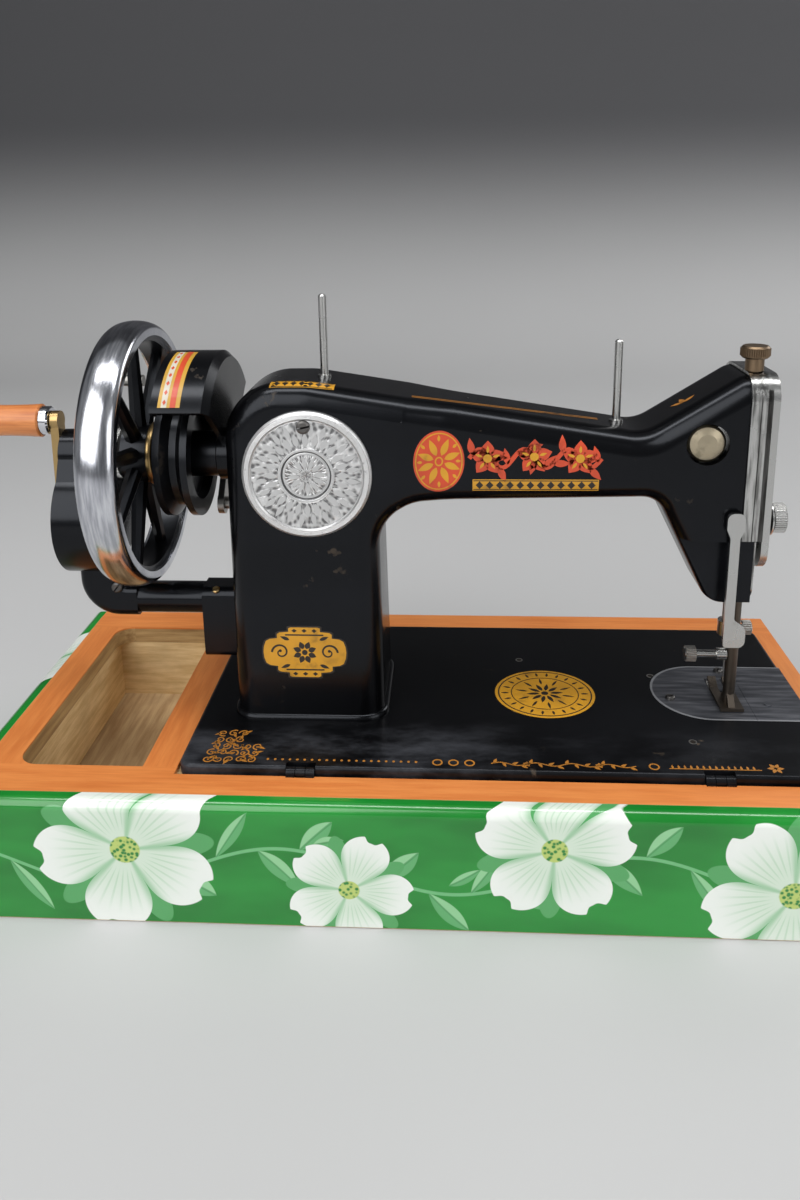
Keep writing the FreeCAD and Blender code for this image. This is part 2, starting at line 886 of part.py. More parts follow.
def hinge_leaf(number, x):
    """Fixed half of a hinge: leaf let into the rail, two knuckles and the pin."""
    half = s.hinge_width / 2
    ring = s.hinge_knuckle_radius
    leaf_rear = well_rear - s.hinge_leaf_thickness
    leaf_low = (x - half, leaf_rear, hinge_z - s.hinge_leaf_drop)
    leaf = box(f"hinge_leaf_{number}", leaf_low, (x + half, well_rear, hinge_z))
    knuckle = rod(f"hinge_knuckle_{number}", "X", (x - half, hinge_y, hinge_z), ring, s.hinge_width)
    web_low = (x - half, leaf_rear, hinge_z - ring)
    web = box(f"hinge_web_{number}", web_low, (x + half, hinge_y, hinge_z))
    space_half = s.hinge_width / 6 + s.open_gap
    space_low = (x - space_half, leaf_rear - ring, hinge_z - ring - s.open_gap)
    space_high = (x + space_half, hinge_y + 2 * ring, hinge_z + 2 * ring)
    space = box(f"hinge_space_{number}", space_low, space_high)
    body = cut(f"hinge_body_{number}", fuse(f"hinge_blank_{number}", leaf, knuckle, web), space)
    pin = rod(f"hinge_pin_{number}", "X", (x - half, hinge_y, hinge_z), s.hinge_pin_radius, s.hinge_width)
    return fuse(f"hinge_fixed_{number}", body, pin)


def hinge_tongue(number, x):
    """Moving half of a hinge: eye on the pin and a tongue screwed under the bed's rim."""
    third = s.hinge_width / 6
    half = s.hinge_width / 2
    ring = s.hinge_knuckle_radius
    thick = s.hinge_tongue_thickness
    eye = rod(f"tongue_eye_{number}", "X", (x - third, hinge_y, hinge_z), ring, 2 * third)
    outline = [
        (hinge_y, hinge_z),
        (hinge_y, bed_bottom - thick),
        (hinge_y + s.hinge_tongue_length, bed_bottom - thick),
        (hinge_y + s.hinge_tongue_length, bed_bottom),
        (hinge_y + ring, bed_bottom),
        (hinge_y + ring, hinge_z),
    ]
    tongue = pad(f"tongue_plate_{number}", "YZ_Plane", outline, x - third, x + third)
    bore_radius = s.hinge_pin_radius + s.running_gap
    bore = rod(f"tongue_bore_{number}", "X", (x - half, hinge_y, hinge_z), bore_radius, s.hinge_width)
    return cut(f"tongue_{number}", fuse(f"tongue_blank_{number}", eye, tongue), bore)


def hinge_notches():
    """Openings in the bed's rear edge that the hinges sit in."""
    half = s.hinge_width / 2 + s.open_gap
    reach = hinge_y + s.hinge_knuckle_radius + s.open_gap
    notches = []
    for number, x in enumerate(hinge_places):
        low = (x - half, bed_rear - s.cut_spare, bed_bottom - s.cut_spare)
        notches.append(box(f"bed_notch_{number}", low, (x + half, reach, bed_top + s.cut_spare)))
    return notches


def plate_outline(gap):
    """Outline of the needle plate: square at the head end, round at the other."""
    half = s.plate_half_width + gap
    end = needle_x - s.plate_left - gap
    corner = s.plate_half_width - s.plate_end_flat
    return [
        (end, -half, corner),
        (plate_right, -half),
        (plate_right, half),
        (end, half, corner),
    ]


def bed_hollows():
    """Tools that open the bed: pan, plate seats, shuttle well, rod hole and hinge notches."""
    rim = s.bed_rim
    spare = s.cut_spare
    pan_low = (bed_left + rim, bed_rear + rim, bed_bottom - spare)
    pan_high = (bed_right - rim, bed_front - rim, web_bottom)
    seat_half = s.plate_half_width + s.plate_gap
    slide_low = (plate_right, -seat_half, plate_bottom)
    slide_high = (bed_right + spare, seat_half, bed_top + spare)
    well_half = s.plate_half_width - s.hook_well_margin
    well_low = (needle_x - s.hook_well_reach, -well_half, bed_bottom - spare)
    inner = s.pillar_top_half_depth - s.pillar_side_wall
    rod_low = (pillar_left + s.pillar_wall, -inner, bed_bottom - spare)
    rod_high = (pillar_right - s.pillar_wall, inner, bed_top + spare)
    return [
        box("bed_pan", pan_low, pan_high),
        pad("plate_recess", "XY_Plane", plate_outline(s.plate_gap), plate_bottom, bed_top + spare),
        box("slide_recess", slide_low, slide_high),
        box("hook_well", well_low, (bed_right + spare, well_half, bed_top)),
        box("rod_hole", rod_low, rod_high),
        *hinge_notches(),
    ]


def build_bed():
    """The cast bed: a shallow pan with the plate recess and shaft bearings."""
    corner = s.bed_corner_radius
    outline = [
        (bed_left, bed_rear, corner),
        (bed_right, bed_rear, corner),
        (bed_right, bed_front, corner),
        (bed_left, bed_front, corner),
    ]
    blank = pad("bed_blank", "XY_Plane", outline, bed_bottom, bed_top)
    top = bed_top.value

    def top_edge(bounds):
        return bounds.ZMin > top - MATCH

    rounded = round_edges("bed_rounded", blank, s.bed_edge_round, top_edge)
    shell = cut("bed_shell", rounded, *bed_hollows())
    lugs = []
    bores = []
    half = 2 * s.hook_shaft_radius
    root = half + s.lug_flare
    bore = s.hook_shaft_radius + s.running_gap
    for number, x in enumerate((pillar_right + s.lug_offset, needle_x - s.lug_needle_offset)):
        outline = [(-half, hook_z - half), (half, hook_z - half), (root, web_bottom), (-root, web_bottom)]
        lugs.append(pad(f"shaft_lug_{number}", "YZ_Plane", outline, x, x + s.bearing_width))
        start = (x - s.cut_spare, as_size(0), hook_z)
        length = s.bearing_width + 2 * s.cut_spare
        bores.append(rod(f"shaft_lug_bore_{number}", "X", start, bore, length))
    part("bed_plate", cut("bed_with_bearings", fuse("bed_and_lugs", shell, *lugs), *bores))


def arm_blank():
    """Outer form of the arm casting: side view, plan and taper in common, edges rounded."""
    bottom = bed_top + s.head_bottom_height
    shoulder = s.pillar_shoulder_radius
    soft = s.head_corner_radius
    side = pad(
        "arm_side_view",
        "XZ_Plane",
        [
            (pillar_left, bed_top),
            (pillar_left, pillar_top, s.pillar_corner_radius),
            (pillar_left + s.pillar_crest_reach, pillar_top, 2 * shoulder),
            (head_end - s.arm_waist_reach, arm_waist, shoulder),
            (head_end - s.head_top_flat, head_top, soft),
            (head_end, head_top),
            (head_end, bottom),
            (head_end - s.head_bottom_length, bottom, soft),
            (head_left, arm_underside + s.arm_underside_rise, soft),
            (pillar_right - s.pillar_throat_taper, arm_underside, s.arm_throat_radius),
            (pillar_right, bed_top),
        ],
        -(2 * s.pillar_foot_half_depth),
        2 * s.pillar_foot_half_depth,
    )
    spare = s.blank_spare
    foot = s.pillar_foot_half_depth
    deep = foot + spare
    slim = s.arm_half_depth
    tall = bed_top + 2 * (pillar_top - bed_top)
    neck_start = pillar_right + s.arm_neck_offset
    neck_end = neck_start + s.arm_neck_ratio * (deep - slim)
    plan = pad(
        "arm_plan",
        "XY_Plane",
        [
            (pillar_left - spare, -deep),
            (neck_start, -deep, shoulder),
            (neck_end, -slim, 3 * shoulder),
            (head_end + spare, -slim),
            (head_end + spare, slim),
            (neck_end, slim, 3 * shoulder),
            (neck_start, deep, shoulder),
            (pillar_left - spare, deep),
        ],
        bed_top - spare,
        tall,
    )
    top = 2 * s.pillar_top_half_depth - foot
    taper = pad(
        "arm_taper",
        "YZ_Plane",
        [(-foot, bed_top), (foot, bed_top), (top, tall), (-top, tall)],
        pillar_left - spare,
        head_end + spare,
    )
    blank = common("arm_common", side, plan, taper)
    floor = bed_top.value + MATCH
    end = head_end.value - MATCH
    across = s.arm_half_depth.value

    def long_edge(bounds):
        return bounds.ZMax > floor and bounds.XMin < end and bounds.YLength < across

    return round_edges("arm_rounded", blank, s.arm_edge_round, long_edge)


def arm_hollows():
    """Tools that open the casting: hollows, bores and seats."""
    return [*pillar_hollows(), *head_hollows(), *bar_bores(), *cover_seats(), *spool_pin_bores()]


def pillar_hollows():
    """The pillar's inside, the shaft tunnel and the bush at the wheel end."""
    wall = s.pillar_wall
    spare = s.cut_spare
    inner = s.pillar_top_half_depth - s.pillar_side_wall
    zero = as_size(0)
    low = (pillar_left + wall, -inner, bed_top - spare)
    high = (pillar_right - wall, inner, shaft_z + s.pillar_room)
    bush = s.bush_radius + s.seat_gap
    tunnel_start = pillar_left + wall + spare
    tunnel_end = cavity_left - s.bush_length
    tunnel_length = tunnel_end - tunnel_start
    bush_start = cast_boss_left - spare
    bush_run = s.cast_boss_length + wall + 2 * spare
    return [
        box("pillar_hollow", low, high),
        rod("arm_tunnel", "X", (tunnel_start, zero, shaft_z), s.arm_tunnel_radius, tunnel_length),
        rod("wheel_bush_bore", "X", (bush_start, zero, shaft_z), bush, bush_run),
        rod("head_bush_bore", "X", (tunnel_end - spare, zero, shaft_z), bush, s.bush_length + 2 * spare),
        winder_pin("winder_pin_bore", s.running_gap),
    ]


def head_hollows():
    """The room for the needle mechanism and the steps beside the lower boss."""
    spare = s.cut_spare
    head = s.head_wall
    mid = s.arm_half_depth - head
    lower = s.boss_half_depth - head
    top = head_top - head
    step = bed_top + s.boss_top_height + s.boss_step_lap
    bottom = bed_top + s.head_bottom_height + 2 * head
    end = head_end + spare
    upper_outline = [
        (cavity_left, step),
        (cavity_left, takeup_z + s.cavity_corner_rise),
        (cavity_left + s.cavity_corner_run, top - s.cavity_top_drop),
        (end, top - s.cavity_end_drop),
        (end, step),
    ]
    lower_outline = [
        (cavity_left + s.cavity_gap, step + spare),
        (head_end - s.boss_hollow_run, bottom),
        (end, bottom),
        (end, step + spare),
    ]
    outside = s.arm_half_depth + spare
    boss = s.boss_half_depth
    boss_top = bed_top + s.boss_top_height
    return [
        pad("head_hollow", "XZ_Plane", upper_outline, -mid, mid),
        pad("boss_hollow", "XZ_Plane", lower_outline, -lower, lower),
        box("boss_rear_step", (head_left, -outside, bed_top), (end, -boss, boss_top)),
        box("boss_front_step", (head_left, boss, bed_top), (end, outside, boss_top)),
    ]


def bar_bores():
    """Bores of the needle bar and the presser bar."""
    low = bed_top + s.head_bottom_height - s.cut_spare
    needle_bore = s.needle_bar_radius + s.running_gap
    presser_bore = s.presser_bar_radius + s.running_gap
    return [
        rod("needle_bar_bore", "Z", (needle_x, as_size(0), low), needle_bore, needle_bar_top - low),
        rod("presser_bar_bore", "Z", (needle_x, presser_y, low), presser_bore, head_top - bed_top),
    ]


def cover_seats():
    """Seats of the rear cover and the stitch plate, and the port in the head."""
    outside = s.pillar_foot_half_depth + s.blank_spare
    cover_start = (cover_x, -outside, cover_z)
    stitch_z = bed_top + s.stitch_height
    half_width = s.stitch_plate_width / 2
    half_length = s.stitch_plate_length / 2
    stitch_low = (rod_x - half_width, s.stitch_seat_depth, stitch_z - half_length)
    stitch_high = (rod_x + half_width, outside, stitch_z + half_length)
    port_start = (takeup_x, -(s.arm_half_depth + s.cut_spare), takeup_z)
    seat_run = outside - s.cover_seat_depth
    return [
        rod("cover_seat", "Y", cover_start, s.cover_radius + s.open_gap, seat_run),
        rod("cover_window", "Y", cover_start, s.cover_window_radius, s.pillar_foot_half_depth),
        rod("takeup_port", "Y", port_start, s.takeup_port_radius, s.head_wall + 4 * s.cut_spare),
        box("stitch_seat", stitch_low, stitch_high),
    ]


def arm_top_at(reach):
    """Height of the arm's sloping top, a reach along from the pillar's left side."""
    start = s.pillar_crest_reach
    end = head_end - s.arm_waist_reach - pillar_left
    fall = pillar_top - arm_waist
    return pillar_top - fall * (reach - start) / (end - start)


def spool_pin_places():
    """Foot of each spool pin on the arm's top."""
    first = s.pillar_pin_inset - s.pillar_inset
    second = head_end - s.arm_pin_inset - pillar_left
    return [(pillar_left + reach, arm_top_at(reach)) for reach in (first, second)]


def spool_pin_bores():
    """Blind holes for the spool pins' shanks and collars."""
    bores = []
    length = 2 * s.spool_pin_seat
    shank = s.spool_pin_shank_radius + s.seat_gap
    collar = s.spool_pin_collar_radius + s.seat_gap
    for number, (x, z) in enumerate(spool_pin_places()):
        start = (x, as_size(0), z - s.spool_pin_seat)
        bores.append(rod(f"spool_bore_{number}", "Z", start, shank, length))
        start = (x, as_size(0), z - s.spool_pin_collar_sink)
        bores.append(rod(f"spool_mouth_{number}", "Z", start, collar, length))
    return bores


def build_spool_pins():
    """Two steel pins with a collar on the arm and a bevelled tip."""
    pins = []
    radius = s.spool_pin_radius
    shank = s.spool_pin_shank_radius
    collar = s.spool_pin_collar_radius
    collar_low = s.spool_pin_seat - s.spool_pin_collar_sink
    collar_high = s.spool_pin_seat + s.spool_pin_collar_rise
    length = s.spool_pin_length + s.spool_pin_seat
    profile = [
        (0, 0),
        (0, shank),
        (collar_low, shank),
        (collar_low, collar),
        (collar_high, collar),
        (collar_high, radius),
        (length - s.spool_pin_tip, radius),
        (length, radius - s.spool_pin_tip),
        (length, 0),
    ]
    for number, (x, z) in enumerate(spool_pin_places()):
        pins.append(turn(f"spool_pin_{number}", "Z", (x, 0, z - s.spool_pin_seat), profile))
    part("spool_pins", group("spool_pin_pair", *pins))


def build_arm():
    """The hollow arm casting with its bosses."""
    wheel_start = (cast_boss_left, as_size(0), shaft_z)
    wheel_boss = rod("wheel_boss", "X", wheel_start, s.cast_boss_radius, s.cast_boss_length + s.boss_sink)
    stand = s.face_sheet + s.lifter_stand
    lifter_start = (lifter_x(), -(s.arm_half_depth + stand), bed_top + s.lifter_height)
    lifter_boss = rod("lifter_boss", "Y", lifter_start, s.lifter_boss_radius, stand + s.boss_sink)
    blank = fuse("arm_with_bosses", arm_blank(), wheel_boss, lifter_boss)
    part("arm_casting", cut("arm_hollowed", blank, *arm_hollows()))


def lifter_x():
    """Place of the lifter's pivot, just inside the face plate's flange."""
    return head_end - s.face_flange - s.lifter_boss_radius


def winder_pin_length():
    """Reach of the winder's pivot from the pillar's side to the arm's outer face."""
    return s.pulley_offset - s.pulley_width / 2 - s.winder_arm_thickness / 2


def build_covers():
    """Round rear cover with a raised rim and a raised ring."""
    thick = s.cover_thickness
    radius = s.cover_radius
    bevel = s.cover_bevel
    rim = radius - s.cover_rim_width
    groove = s.cover_groove_depth
    ring_out = s.cover_ring_radius + s.cover_ring_half_width
    ring_in = s.cover_ring_radius - s.cover_ring_half_width
    profile = [
        (0, 0),
        (0, radius),
        (thick - bevel, radius),
        (thick, radius - bevel),
        (thick, rim),
        (thick - groove, rim - groove),
        (thick - groove, ring_out + groove / 2),
        (thick, ring_out),
        (thick, ring_in),
        (thick - groove, ring_in - groove / 2),
        (thick - s.cover_dish, 0),
    ]
    centre = (cover_x, -s.cover_seat_depth, cover_z)
    cover = turn("rear_cover_disc", "Y", centre, profile)
    flip = FreeCAD.Rotation(FreeCAD.Vector(0, 0, 1), -90)
    part("rear_cover", place(cover, centre, flip))


def face_outline(grow, low):
    """End view of the face plate, grown outwards by a thickness."""
    half = s.arm_half_depth + grow
    high = head_top + grow
    corner = s.arm_edge_round + grow
    return [(-half, low), (half, low), (half, high, corner), (-half, high, corner)]


def build_face_end():
    """Face plate, thread guard and thread tension."""
    build_face_plate()
    build_thread_guard()
    build_tension()


def build_face_plate():
    """Sheet cap over the head's end, with the take-up slot and a tail over the boss."""
    start = head_end - s.face_flange
    low = bed_top + s.face_bottom
    shell_outline = face_outline(s.face_sheet + s.running_gap, low)
    shell = pad("face_shell", "YZ_Plane", shell_outline, start, face_outside)
    inside_outline = face_outline(s.running_gap, low - s.blank_spare)
    inside = pad("face_inside", "YZ_Plane", inside_outline, start - s.cut_spare, head_end)
    slot_rear = -(s.arm_half_depth - s.head_wall)
    slot_front = slot_rear + 2 * s.takeup_thickness + 3 * s.open_gap
    slot_low = (head_end - s.cut_spare, slot_rear, takeup_z - s.takeup_slot_drop)
    slot_high = (face_outside + s.cut_spare, slot_front, takeup_z + s.takeup_slot_rise)
    slot = box("takeup_slot", slot_low, slot_high)
    hole_start = (needle_x, presser_y, head_top - s.head_wall)
    hole = rod("pressure_hole", "Z", hole_start, s.presser_bar_radius + s.running_gap, 2 * s.face_flange)
    tail_half = s.boss_half_depth - s.face_tail_margin
    tail_low = bed_top + s.head_bottom_height + s.face_tail_margin
    tail_outline = [
        (-tail_half, tail_low, s.face_tail_corner),
        (tail_half, tail_low, s.face_tail_corner),
        (tail_half, low),
        (-tail_half, low),
    ]
    tail = pad("face_tail", "YZ_Plane", tail_outline, head_end + s.running_gap, face_outside)
    part("face_plate", fuse("face_whole", cut("face_cut", shell, inside, slot, hole), tail))


def build_thread_guard():
    """Framed strip that stands off the face plate on two posts, with the tension stud."""
    half = s.guard_strip_half_depth
    corner = s.head_corner_radius
    low = bed_top + s.guard_strip_bottom
    outline = [(-half, low, corner), (half, low, corner), (half, head_top, corner), (-half, head_top, corner)]
    strip = pad("guard_strip", "YZ_Plane", outline, strip_left, strip_right)
    window_half = half - s.guard_strip_edge
    window_low = (strip_left - s.cut_spare, -window_half, tension_z + s.guard_window_rise)
    window_high = (strip_right + s.cut_spare, window_half, head_top - s.guard_window_drop)
    window = box("guard_window", window_low, window_high)
    posts = [tension_stud()]
    for number, z in enumerate((head_top - s.guard_post_drop, tension_z + s.guard_post_rise)):
        start = (face_outside, as_size(0), z)
        posts.append(rod(f"guard_post_{number}", "X", start, s.tension_stud_radius, s.guard_strip_stand))
    part("thread_guard", fuse("guard_whole", cut("guard_cut", strip, window), *posts))


def tension_stud_length():
    """Reach of the tension stud from the thread guard."""
    return 2 * s.tension_disc_thickness + 2 * s.open_gap + s.tension_nut_length - s.tension_stud_short


def tension_stud():
    """Stud riveted in the thread guard, carrying the tension discs and the dial."""
    start = (strip_right - s.overlap, tension_y, tension_z)
    return rod("tension_stud", "X", start, s.tension_stud_radius, tension_stud_length() + s.overlap)


def build_tension():
    """Two tension discs and the dial nut."""
    thick = s.tension_disc_thickness
    disc = s.tension_disc_radius
    bore = s.tension_stud_radius + s.running_gap
    centre = (strip_right, tension_y, tension_z)
    discs = []
    for number, rim_start in enumerate((as_size(0), thick - s.tension_disc_rim)):
        inner = number * (thick + s.tension_disc_gap)
        rim = inner + rim_start
        profile = [
            (inner, bore),
            (rim, disc),
            (rim + s.tension_disc_rim, disc),
            (inner + thick, disc - s.tension_disc_dish),
            (inner + thick, bore),
        ]
        discs.append(turn(f"tension_disc_{number}", "X", centre, profile))
    part("tension_discs", group("tension_disc_pair", *discs))
    start = 2 * thick + 2 * s.open_gap
    end = start + s.tension_nut_length
    nut = s.tension_nut_radius
    bevel = s.tension_nut_bevel
    hollow = tension_stud_length() + s.open_gap
    profile = [
        (start, bore),
        (start, nut - bevel),
        (start + bevel, nut),
        (end - bevel, nut),
        (end, nut - bevel),
        (end, 0),
        (hollow, 0),
        (hollow, bore),
    ]
    part("tension_nut", turn("tension_dial", "X", centre, profile))


def build_plates():
    """Needle plate, slide plate and the feed dog between them."""
    slot_length = s.feed_slot_half_length
    low_z = plate_bottom - s.cut_spare
    blank = pad("needle_plate_blank", "XY_Plane", plate_outline(0), plate_bottom, bed_top)
    slots = []
    for number, (start, end) in enumerate(feed_row_spans(as_size(0))):
        slot_high = (end, slot_length, bed_top + s.cut_spare)
        slots.append(box(f"feed_slot_{number}", (start, -slot_length, low_z), slot_high))
    hole_run = s.plate_thickness + 2 * s.cut_spare
    hole = rod("needle_hole", "Z", (needle_x, 0, low_z), s.needle_hole_radius, hole_run)
    part("needle_plate", cut("needle_plate_cut", blank, *slots, hole))
    half = s.plate_half_width
    slide_low = (plate_right + s.plate_gap, -half, plate_bottom)
    slide = box("slide_blank", slide_low, (bed_right, half, bed_top))
    stud_start = (plate_right + s.slide_stud_reach, presser_y, bed_top - s.overlap)
    stud = rod("slide_stud", "Z", stud_start, s.tension_stud_radius, s.overlap + s.slide_stud_height)
    part("slide_plate", fuse("slide_with_stud", slide, stud))
    build_feed_dog()


def feed_row_spans(gap):
    """Ends along X of the two feed rows, or with no gap of their slots."""
    inner = s.needle_hole_radius + s.feed_bridge + gap
    outer = s.feed_slot_half_width - gap
    return [(needle_x - outer, needle_x - inner), (needle_x + inner, needle_x + outer)]


def build_feed_dog():
    """Two toothed rows on a bar that rocks under the needle plate."""
    gap = s.feed_side_gap
    half = s.feed_slot_half_width
    reach = s.feed_slot_half_length - s.feed_travel - gap
    low_z = plate_bottom - s.feed_bar_drop
    bar_low = (needle_x - half, -reach, low_z)
    pieces = [box("feed_bar", bar_low, (needle_x + half, reach, plate_bottom - gap))]
    for number, (start, end) in enumerate(feed_row_spans(gap)):
        pieces.append(pad(f"feed_row_{number}", "YZ_Plane", feed_teeth(reach, low_z), start, end))
    well_half = s.feed_well_half_width
    well_reach = s.feed_well_half_length + s.feed_travel
    well_low = (needle_x - well_half, -well_reach, low_z - s.cut_spare)
    well = box("feed_well", well_low, (needle_x + well_half, well_reach, bed_top))
    part("feed_dog", cut("feed_cut", fuse("feed_blank", *pieces), well))


def feed_teeth(reach, low_z):
    """Saw-tooth side view of one feed row."""
    count = int(s.feed_tooth_count.value)
    step = 2 * reach / count
    foot = bed_top - s.feed_tooth_depth
    outline = [(-reach, low_z + s.overlap)]
    for number in range(count):
        start = -reach + step * number
        outline.append((start, foot))
        outline.append((start + step * s.feed_tooth_slope, bed_top + s.feed_tooth_proud))
    outline.append((reach, foot))
    outline.append((reach, low_z + s.overlap))
    return outline


def build_needle_bar():
    """Needle bar with its clamp, needle and drive link."""
    low = bed_top + s.needle_bar_bottom
    radius = s.needle_bar_radius
    bar = rod("needle_bar_rod", "Z", (needle_x, 0, low), radius, needle_bar_top - low)
    stud_z = needle_bar_top - s.needle_bar_crown
    half = s.needle_bracket_half
    outline = [
        (-half, stud_z - half, s.needle_bracket_corner),
        (half, stud_z - half),
        (half, stud_z + half),
        (-half, stud_z + half),
    ]
    bracket_start = link_left + s.link_thickness + s.open_gap
    bracket_end = needle_x + radius + s.needle_bracket_wall
    bracket = pad("needle_bracket", "YZ_Plane", outline, bracket_start, bracket_end)
    part("needle_bar", fuse("needle_bar_whole", bar, bracket))
    build_needle_clamp(low)
    needle = s.needle_radius
    length = s.needle_length
    profile = [
        (0, 0),
        (s.needle_point, s.needle_tip_radius),
        (s.needle_blade, s.needle_blade_radius),
        (s.needle_shoulder, needle),
        (length, needle),
        (length, 0),
    ]
    part("needle", turn("needle_shape", "Z", (needle_x, 0, low - length), profile))
    build_link(stud_z)


def build_needle_clamp(low):
    """Sleeve on the needle bar's end with its thumb screw."""
    outer = s.needle_clamp_radius
    bore = s.needle_bar_radius + s.seat_gap
    height = s.needle_clamp_height
    bevel = s.small_bevel
    profile = [(0, bore), (0, outer - bevel), (bevel, outer), (height, outer), (height, bore)]
    sleeve = turn("clamp_sleeve", "Z", (needle_x, 0, low), profile)
    screw = s.clamp_screw_radius
    neck = s.clamp_screw_neck
    head = s.clamp_screw_head_radius
    end = neck + s.clamp_screw_head
    bevel = s.clamp_screw_bevel
    profile = [
        (0, 0),
        (0, screw),
        (neck, screw),
        (neck, head - bevel),
        (neck + bevel, head),
        (end - bevel, head),
        (end, head - bevel),
        (end, 0),
    ]
    start = (needle_x + bore + s.clamp_screw_sink, 0, low + height / 2)
    part("needle_clamp", fuse("clamp_whole", sleeve, turn("clamp_screw", "X", start, profile)))


def build_link(stud_z):
    """Link between the needle crank's pin and the needle bar."""
    eye = s.link_eye_radius
    waist = eye * s.link_waist
    high_z = stud_z + s.link_length
    lower = rod("link_lower_eye", "X", (link_left, 0, stud_z), eye, s.link_thickness)
    upper = rod("link_upper_eye", "X", (link_left, 0, high_z), eye, s.link_thickness)
    outline = [(-eye, stud_z), (eye, stud_z), (waist, high_z), (-waist, high_z)]
    shank = pad("link_shank", "YZ_Plane", outline, link_left, link_left + s.link_thickness)
    part("needle_link", fuse("link_whole", lower, upper, shank))


def build_takeup():
    """Take-up stud seen through the head's port, and its lever."""
    thick = s.takeup_thickness
    lever_low = s.open_gap - (s.arm_half_depth - s.head_wall)
    lever_high = lever_low + thick
    head = s.takeup_port_radius - s.takeup_stud_gap
    pivot = s.takeup_pivot_radius
    outer = s.takeup_stud_sink - s.arm_half_depth
    depth = lever_low - outer
    profile = [(s.takeup_dome * (1 - cosine(angle)), head * sine(angle)) for angle in (0, 30, 60, 90)]
    profile += [(depth - s.open_gap, head), (depth - s.open_gap, pivot)]
    profile += [(depth + thick + s.overlap, pivot), (depth + thick + s.overlap, 0)]
    part("takeup_stud", turn("takeup_stud_shape", "Y", (takeup_x, outer, takeup_z), profile))
    jog_x = head_end - s.takeup_jog_inset
    tip_x = takeup_x + s.takeup_reach
    tip_z = takeup_z + s.takeup_rise
    hub = s.takeup_hub_half
    corner = s.takeup_hub_corner
    tip_half = s.takeup_tip_half
    outline = [
        (takeup_x - hub, takeup_z - hub, corner),
        (takeup_x + hub, takeup_z - hub),
        (jog_x, tip_z - tip_half),
        (jog_x, tip_z + tip_half),
        (takeup_x, takeup_z + hub, corner),
        (takeup_x - hub, takeup_z + hub, corner),
    ]
    blade = pad("takeup_blade", "XZ_Plane", outline, lever_low, lever_high)
    tip_low = (jog_x - s.takeup_jog / 2, lever_high, tip_z - tip_half)
    tip = box("takeup_tip", tip_low, (tip_x, lever_high + thick, tip_z + tip_half))
    bore_start = (takeup_x, lever_low - s.cut_spare, takeup_z)
    bore = rod("takeup_bore", "Y", bore_start, pivot + s.running_gap, thick + 2 * s.cut_spare)
    eye_start = (tip_x - s.takeup_eye_inset, lever_low, tip_z)
    eye = rod("takeup_eye", "Y", eye_start, s.takeup_eye_radius, 2 * thick + s.cut_spare)
    part("takeup_lever", cut("takeup_cut", fuse("takeup_blank", blade, tip), bore, eye))


def build_presser():
    """Presser bar, foot, its thumb screw, the pressure knob and the lifter."""
    radius = s.presser_bar_radius
    low = bed_top + s.presser_bar_bottom
    part("presser_bar", rod("presser_rod", "Z", (needle_x, presser_y, low), radius, s.presser_bar_length))
    build_foot(low)
    build_foot_screw()
    build_pressure_knob()
    build_lifter()


def build_foot_screw():
    """Thumb screw that clamps the foot, pointing to the wheel end."""
    bevel = s.small_bevel
    head = s.foot_screw_head_radius
    head_end_at = s.foot_screw_head_length
    neck = s.foot_screw_neck_radius
    collar = s.foot_screw_collar_radius
    length = s.foot_screw_length
    collar_start = length - s.foot_screw_collar_length
    profile = [
        (0, 0),
        (0, head - bevel),
        (bevel, head),
        (head_end_at - bevel, head),
        (head_end_at, head - bevel),
        (head_end_at, neck),
        (collar_start, neck),
        (collar_start, collar),
        (length, collar),
        (length, 0),
    ]
    start = (needle_x - s.presser_bar_radius - length, presser_y, bed_top + s.foot_screw_height)
    part("foot_screw", turn("foot_screw_shape", "X", start, profile))


def build_foot(bar_low):
    """Presser foot: forked sole with a turned-up toe and a clamp shank."""
    low = bed_top + s.foot_rest_gap
    sole = s.foot_sole
    heel = presser_y - s.foot_heel
    toe = heel + s.foot_length
    bend = toe - s.foot_toe_length
    lean = s.foot_toe_lean
    rise = low + s.foot_toe_rise
    half = s.foot_width / 2
    outline = [
        (heel, low),
        (bend, low),
        (toe, rise),
        (toe - lean, rise + sole),
        (bend - lean, low + sole),
        (heel, low + sole),
    ]
    plate = pad("foot_sole_plate", "YZ_Plane", outline, needle_x - half, needle_x + half)
    middle = low + sole / 2
    shank = rod("foot_shank", "Z", (needle_x, presser_y, middle), s.presser_bar_radius, bar_low - middle)
    rib_outline = [
        (heel + s.overlap, middle),
        (presser_y + s.foot_rib_reach, middle),
        (presser_y + s.foot_rib_top, bar_low),
        (presser_y - s.foot_rib_top, bar_low),
    ]
    rib_half = s.foot_rib_half
    rib = pad("foot_rib", "YZ_Plane", rib_outline, needle_x - rib_half, needle_x + rib_half)
    fork_half = s.foot_fork_half
    fork_low = (needle_x - fork_half, -s.foot_fork_depth, low - s.cut_spare)
    fork = box("foot_fork", fork_low, (needle_x + fork_half, toe + s.cut_spare, bar_low))
    part("presser_foot", cut("foot_cut", fuse("foot_blank", plate, shank, rib), fork))


def build_pressure_knob():
    """Pressure regulating thumb screw on the head's top."""
    knob = s.pressure_knob_radius
    neck = s.pressure_neck_radius
    neck_high = s.pressure_neck_height
    top = neck_high + s.pressure_knob_height
    stem = s.presser_bar_radius
    base = head_top + s.face_sheet + 2 * s.running_gap + s.open_gap
    bevel = s.small_bevel
    down = -s.pressure_stem_sink
    profile = [
        (down, 0),
        (down, stem),
        (0, stem),
        (0, neck),
        (neck_high, neck),
        (neck_high, knob - bevel),
        (neck_high + bevel, knob),
        (top - bevel, knob),
        (top, knob - bevel),
        (top, 0),
    ]
    part("pressure_screw", turn("pressure_screw_shape", "Z", (needle_x, presser_y, base), profile))


